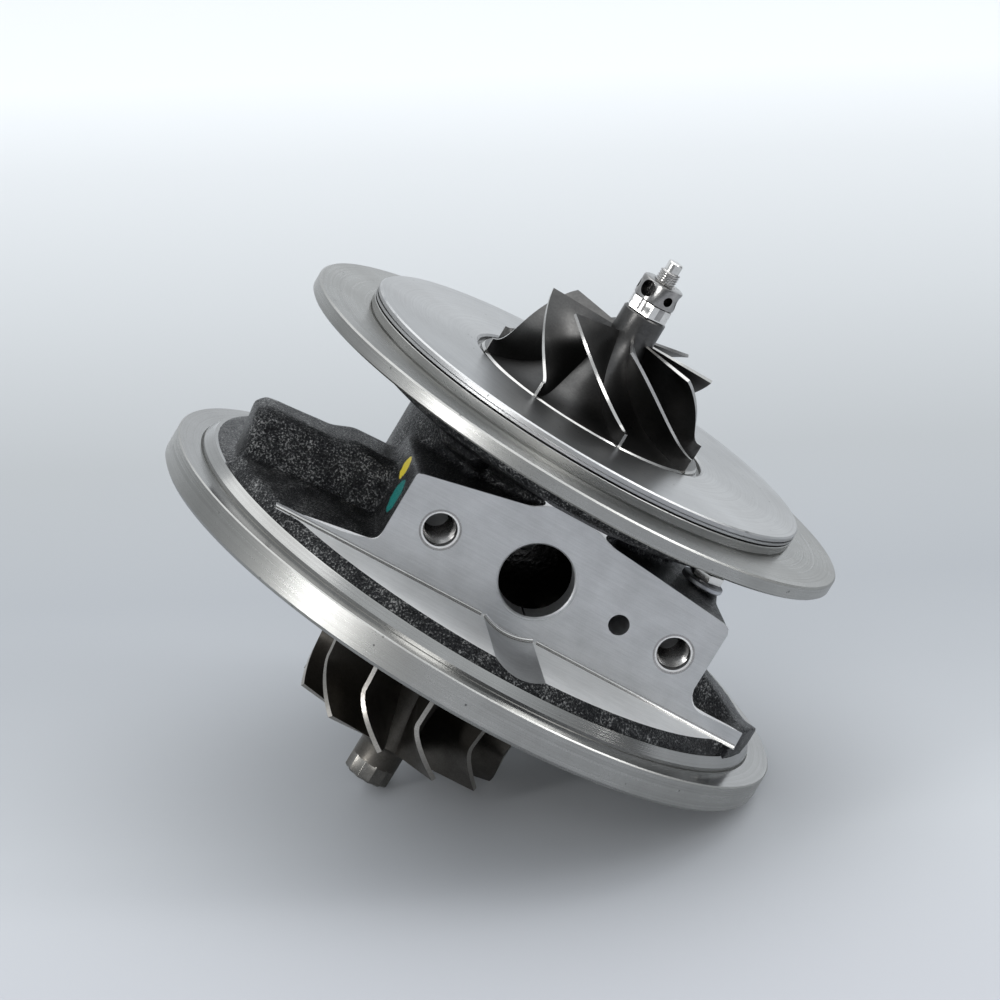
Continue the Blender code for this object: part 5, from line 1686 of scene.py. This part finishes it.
@dataclass(frozen=True)
class TurbineWheel:
    """The cast turbine wheel with its twelve-point nose, and the shield above it."""

    finishes: Finishes
    size: TurbineSize = TurbineSize()

    def nose(self) -> Piece:
        """Form the twelve-point nose that a wrench holds.

        Returns:
            The nose.
        """
        s = self.size
        rings = []
        for height, shrink in ((s.nose_bottom, 0.5), (s.nose_bottom + 0.5, 0.0), (s.nose_top, 0.0)):
            rings.append([on_circle((s.nose_notch if i % 2 else s.nose_crest) - shrink,
                                    math.pi * i / s.nose_points,
                                    height) for i in range(2 * s.nose_points)])
        return Bench.dress(Bench.ease(Bench.loft("turbine_nose", rings), 0.12,
                                      2), self.finishes.nose)

    def wheel(self) -> None:
        """Turn the hub, set the blades and add the nose."""
        s = self.size
        hub = ellipse_path((s.rim_radius, s.rim_bottom),
                           (s.hub_radius, s.hub_bottom), False, s.stations)
        shroud = ellipse_path((s.rim_radius, s.tip_bottom),
                              (s.exit_radius, s.exit_bottom), False, s.stations)
        turns = [s.wrap * (max(0.0, s.wrap_start - z) / s.wrap_length) ** 1.5 for _, z in shroud]
        neck = [(0, s.neck_bottom), (s.neck_radius, s.neck_bottom),
                (s.neck_radius, s.neck_bottom + 4.2),
                (s.neck_radius + 0.3, s.neck_bottom + 4.9)]
        back = [(s.rim_radius, s.rim_top - 0.3), (s.rim_radius - 0.3, s.rim_top),
                (8.4, s.rim_top), (7.2, s.face_top),
                (0, s.face_top)]
        body = Bench.lathe("turbine_wheel_body", neck + hub[::-1] + back, 192)
        Bench.dress(body, self.finishes.alloy, self.finishes.tip)
        blades = BladeSet(hub, shroud, turns, s.blades, s.first_blade, s.thickness, s.sink).make(
            "turbine_blade", self.finishes.alloy, self.finishes.tip)
        Bench.seat(Bench.join([body, self.nose()] + blades), Body.ROTOR, Slot.NICKEL,
                   "turbine_wheel", crease=35.0)

    def shield(self) -> None:
        """Press the heat shield."""
        shield = Bench.lathe("pressed_shield", self.size.shield, 192)
        Bench.seat(Bench.dress(shield, self.finishes.shield), Body.HOUSING,
                   Slot.SHIELD, "heat_shield")

    def build(self) -> None:
        """Build the wheel and the shield."""
        self.wheel()
        self.shield()


@dataclass(frozen=True)
class InnerParts:
    """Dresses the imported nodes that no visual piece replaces."""

    finishes: Finishes
    nodes: dict[str, Piece]

    def build(self) -> None:
        """Give each node the finish of its metal."""
        metals = (("bronze", self.finishes.bronze, ("journal", "thrust_bearing")),
                  ("rubber", self.finishes.rubber, ("o_ring",)), ("steel", self.finishes.bolt,
                   ("bolt", "circlip", "screw", "baffle", "seal_ring")),
                  ("bright", self.finishes.bright, ("collar", "flinger")))
        for name, node in self.nodes.items():
            for label, finish, words in metals:
                if any(word in name for word in words):
                    Bench.dress(node, finish)
                    LOG.info("%s dressed in %s", name, label)
                    break


@dataclass(frozen=True)
class Panel:
    """One soft rectangular light, in metres and watts."""

    name: str
    place: Point
    size: Pair
    power: float
    aim: Point = (0.0, 0.0, 0.06)

    def hang(self) -> None:
        """Hang the light and turn it to its aim."""
        data = bpy.data.lights.new(self.name, "AREA")
        data.shape = "RECTANGLE"
        data.size, data.size_y = self.size
        data.energy = self.power
        lamp = bpy.data.objects.new(self.name, data)
        lamp.location = self.place
        along = Vector(self.aim) - Vector(self.place)
        lamp.rotation_euler = along.to_track_quat("-Z", "Y").to_euler()
        bpy.context.scene.collection.objects.link(lamp)


@dataclass(frozen=True)
class Studio:
    """Camera, floor and lights, in metres."""

    place: Point = (-0.08878578, -0.92357715, 0.36506042)
    right: Point = (0.99487093, -0.10003155, -0.01501726)
    down: Point = (-0.04463231, -0.30088206, -0.95261637)
    ahead: Point = (0.09077327, 0.94840059, -0.30380346)
    lens: float = 151.48
    sensor: float = 36.0
    floor_side: float = 8.0
    floor_height: float = -0.0002
    floor_near: float = -0.3
    floor_far: float = 0.8
    # Floor colours from front to back, darker in a band just behind the cartridge and lighter
    # towards the back: painted light falloff.
    floor_falloff_painted_tones: tuple[tuple[float, Point], ...] = (
        (0.16, (0.42, 0.43, 0.455)), (0.24, (0.44, 0.455, 0.475)), (0.34, (0.35, 0.365, 0.385)),
        (0.4, (0.315, 0.33, 0.35)), (0.51, (0.345, 0.358, 0.368)), (0.67, (0.47, 0.485, 0.495)),
        (0.86, (0.6, 0.615, 0.625)), (1.0, (0.74, 0.755, 0.765)))
    panels: tuple[Panel, ...] = (
        Panel("top_panel", (0.0, 0.45, 1.5), (2.2, 1.8), 14.5, (0.0, 0.25, 0.0)),
        Panel("left_panel", (-1.15, -0.8, 0.42), (0.22, 0.7), 6.0),
        Panel("right_panel", (1.3, -0.3, 0.7), (0.35, 0.9), 5.0),
        Panel("front_panel", (-0.25, -1.5, 0.75), (0.5, 0.5), 4.5))
    tent_low: tuple[float, Point] = (0.08, (0.16, 0.17, 0.18, 1.0))
    tent_high: tuple[float, Point] = (0.6, (0.86, 0.9, 0.94, 1.0))
    tent_strength: float = 1.1

    def camera(self) -> None:
        """Place the camera at the photograph's viewing angle."""
        data = bpy.data.cameras.new("photo_camera")
        camera = bpy.data.objects.new("photo_camera", data)
        bpy.context.scene.collection.objects.link(camera)
        turn = Matrix((self.right, -Vector(self.down), -Vector(self.ahead))).transposed().to_4x4()
        camera.matrix_world = Matrix.Translation(self.place) @ turn
        data.lens = self.lens
        data.sensor_width = self.sensor
        data.clip_start = 0.05
        data.clip_end = 20.0
        bpy.context.scene.camera = camera

    def floor(self) -> None:
        """Lay the pale floor, its colour graded from front to back as painted light falloff."""
        Bench.clear()
        bpy.ops.mesh.primitive_plane_add(size=self.floor_side,
                                         location=(0.0, 0.0, self.floor_height))
        floor = bpy.context.object
        floor.name = "floor"
        kit = Kit("pale_floor")
        place = kit.add("ShaderNodeTexCoord").outputs["Object"]
        parts = kit.add("ShaderNodeSeparateXYZ")
        kit.feed(parts.inputs[0], place)
        depth = kit.remap(parts.outputs[1], self.floor_near, self.floor_far, 0.0, 1.0)
        colour = kit.ramp(depth, *self.floor_falloff_painted_tones)
        grain = kit.noise(place, 900.0, 2.0)
        colour = kit.blend(kit.sum("MULTIPLY", grain, 0.05), colour, (0.5, 0.51, 0.53, 1.0))
        Bench.dress(floor, kit.surface(colour, 0.6, 0.0))
        floor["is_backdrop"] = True

    def tent(self) -> None:
        """Surround the scene with a soft tent that is bright above and behind."""
        world = bpy.data.worlds.new("tent")
        world.use_nodes = True
        tree = world.node_tree
        sky = tree.nodes["Background"]
        parts = tree.nodes.new("ShaderNodeSeparateXYZ")
        tree.links.new(tree.nodes.new("ShaderNodeTexCoord").outputs["Generated"], parts.inputs[0])
        behind = tree.nodes.new("ShaderNodeMapRange")
        behind.inputs["From Min"].default_value = 0.35
        behind.inputs["From Max"].default_value = 0.85
        behind.inputs["To Max"].default_value = 0.5
        tree.links.new(parts.outputs[1], behind.inputs["Value"])
        upward = tree.nodes.new("ShaderNodeMath")
        upward.operation = "MAXIMUM"
        tree.links.new(parts.outputs[2], upward.inputs[0])
        tree.links.new(behind.outputs[0], upward.inputs[1])
        band = tree.nodes.new("ShaderNodeValToRGB")
        for element, tone in zip(band.color_ramp.elements, (self.tent_low, self.tent_high)):
            element.position, element.color = tone
        tree.links.new(upward.outputs[0], band.inputs["Fac"])
        tree.links.new(band.outputs["Color"], sky.inputs["Color"])
        sky.inputs["Strength"].default_value = self.tent_strength
        bpy.context.scene.world = world

    def lights(self) -> None:
        """Hang the panels inside the tent."""
        for panel in self.panels:
            panel.hang()
        self.tent()
        bpy.context.scene.view_settings.view_transform = "Standard"


def write_size(label: str, sizes: dict[str, list[list[float]]]) -> None:
    """Note the whole object's box under a label.

    Args:
        label: When the box is measured.
        sizes: Notes so far, to which the new one is added.
    """
    low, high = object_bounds()
    sizes[label] = [list(low), list(high)]


def main() -> None:
    """Build the scene."""
    logging.basicConfig(level=logging.INFO, format="%(name)s: %(message)s")
    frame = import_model()
    sizes: dict[str, list[list[float]]] = {}
    write_size("frame", sizes)
    studio = Studio()
    studio.camera()
    finishes = Finishes()
    InnerParts(finishes, frame["nodes"]).build()
    for assembly in (Flanges(finishes), Casting(finishes), OilPad(finishes),
                     GalleryPlug(finishes), Backplate(finishes),
                     CompressorWheel(finishes), Shaft(finishes), TurbineWheel(finishes)):
        assembly.build()
    studio.floor()
    studio.lights()
    write_size("finished", sizes)


if __name__ == "__main__":
    main()
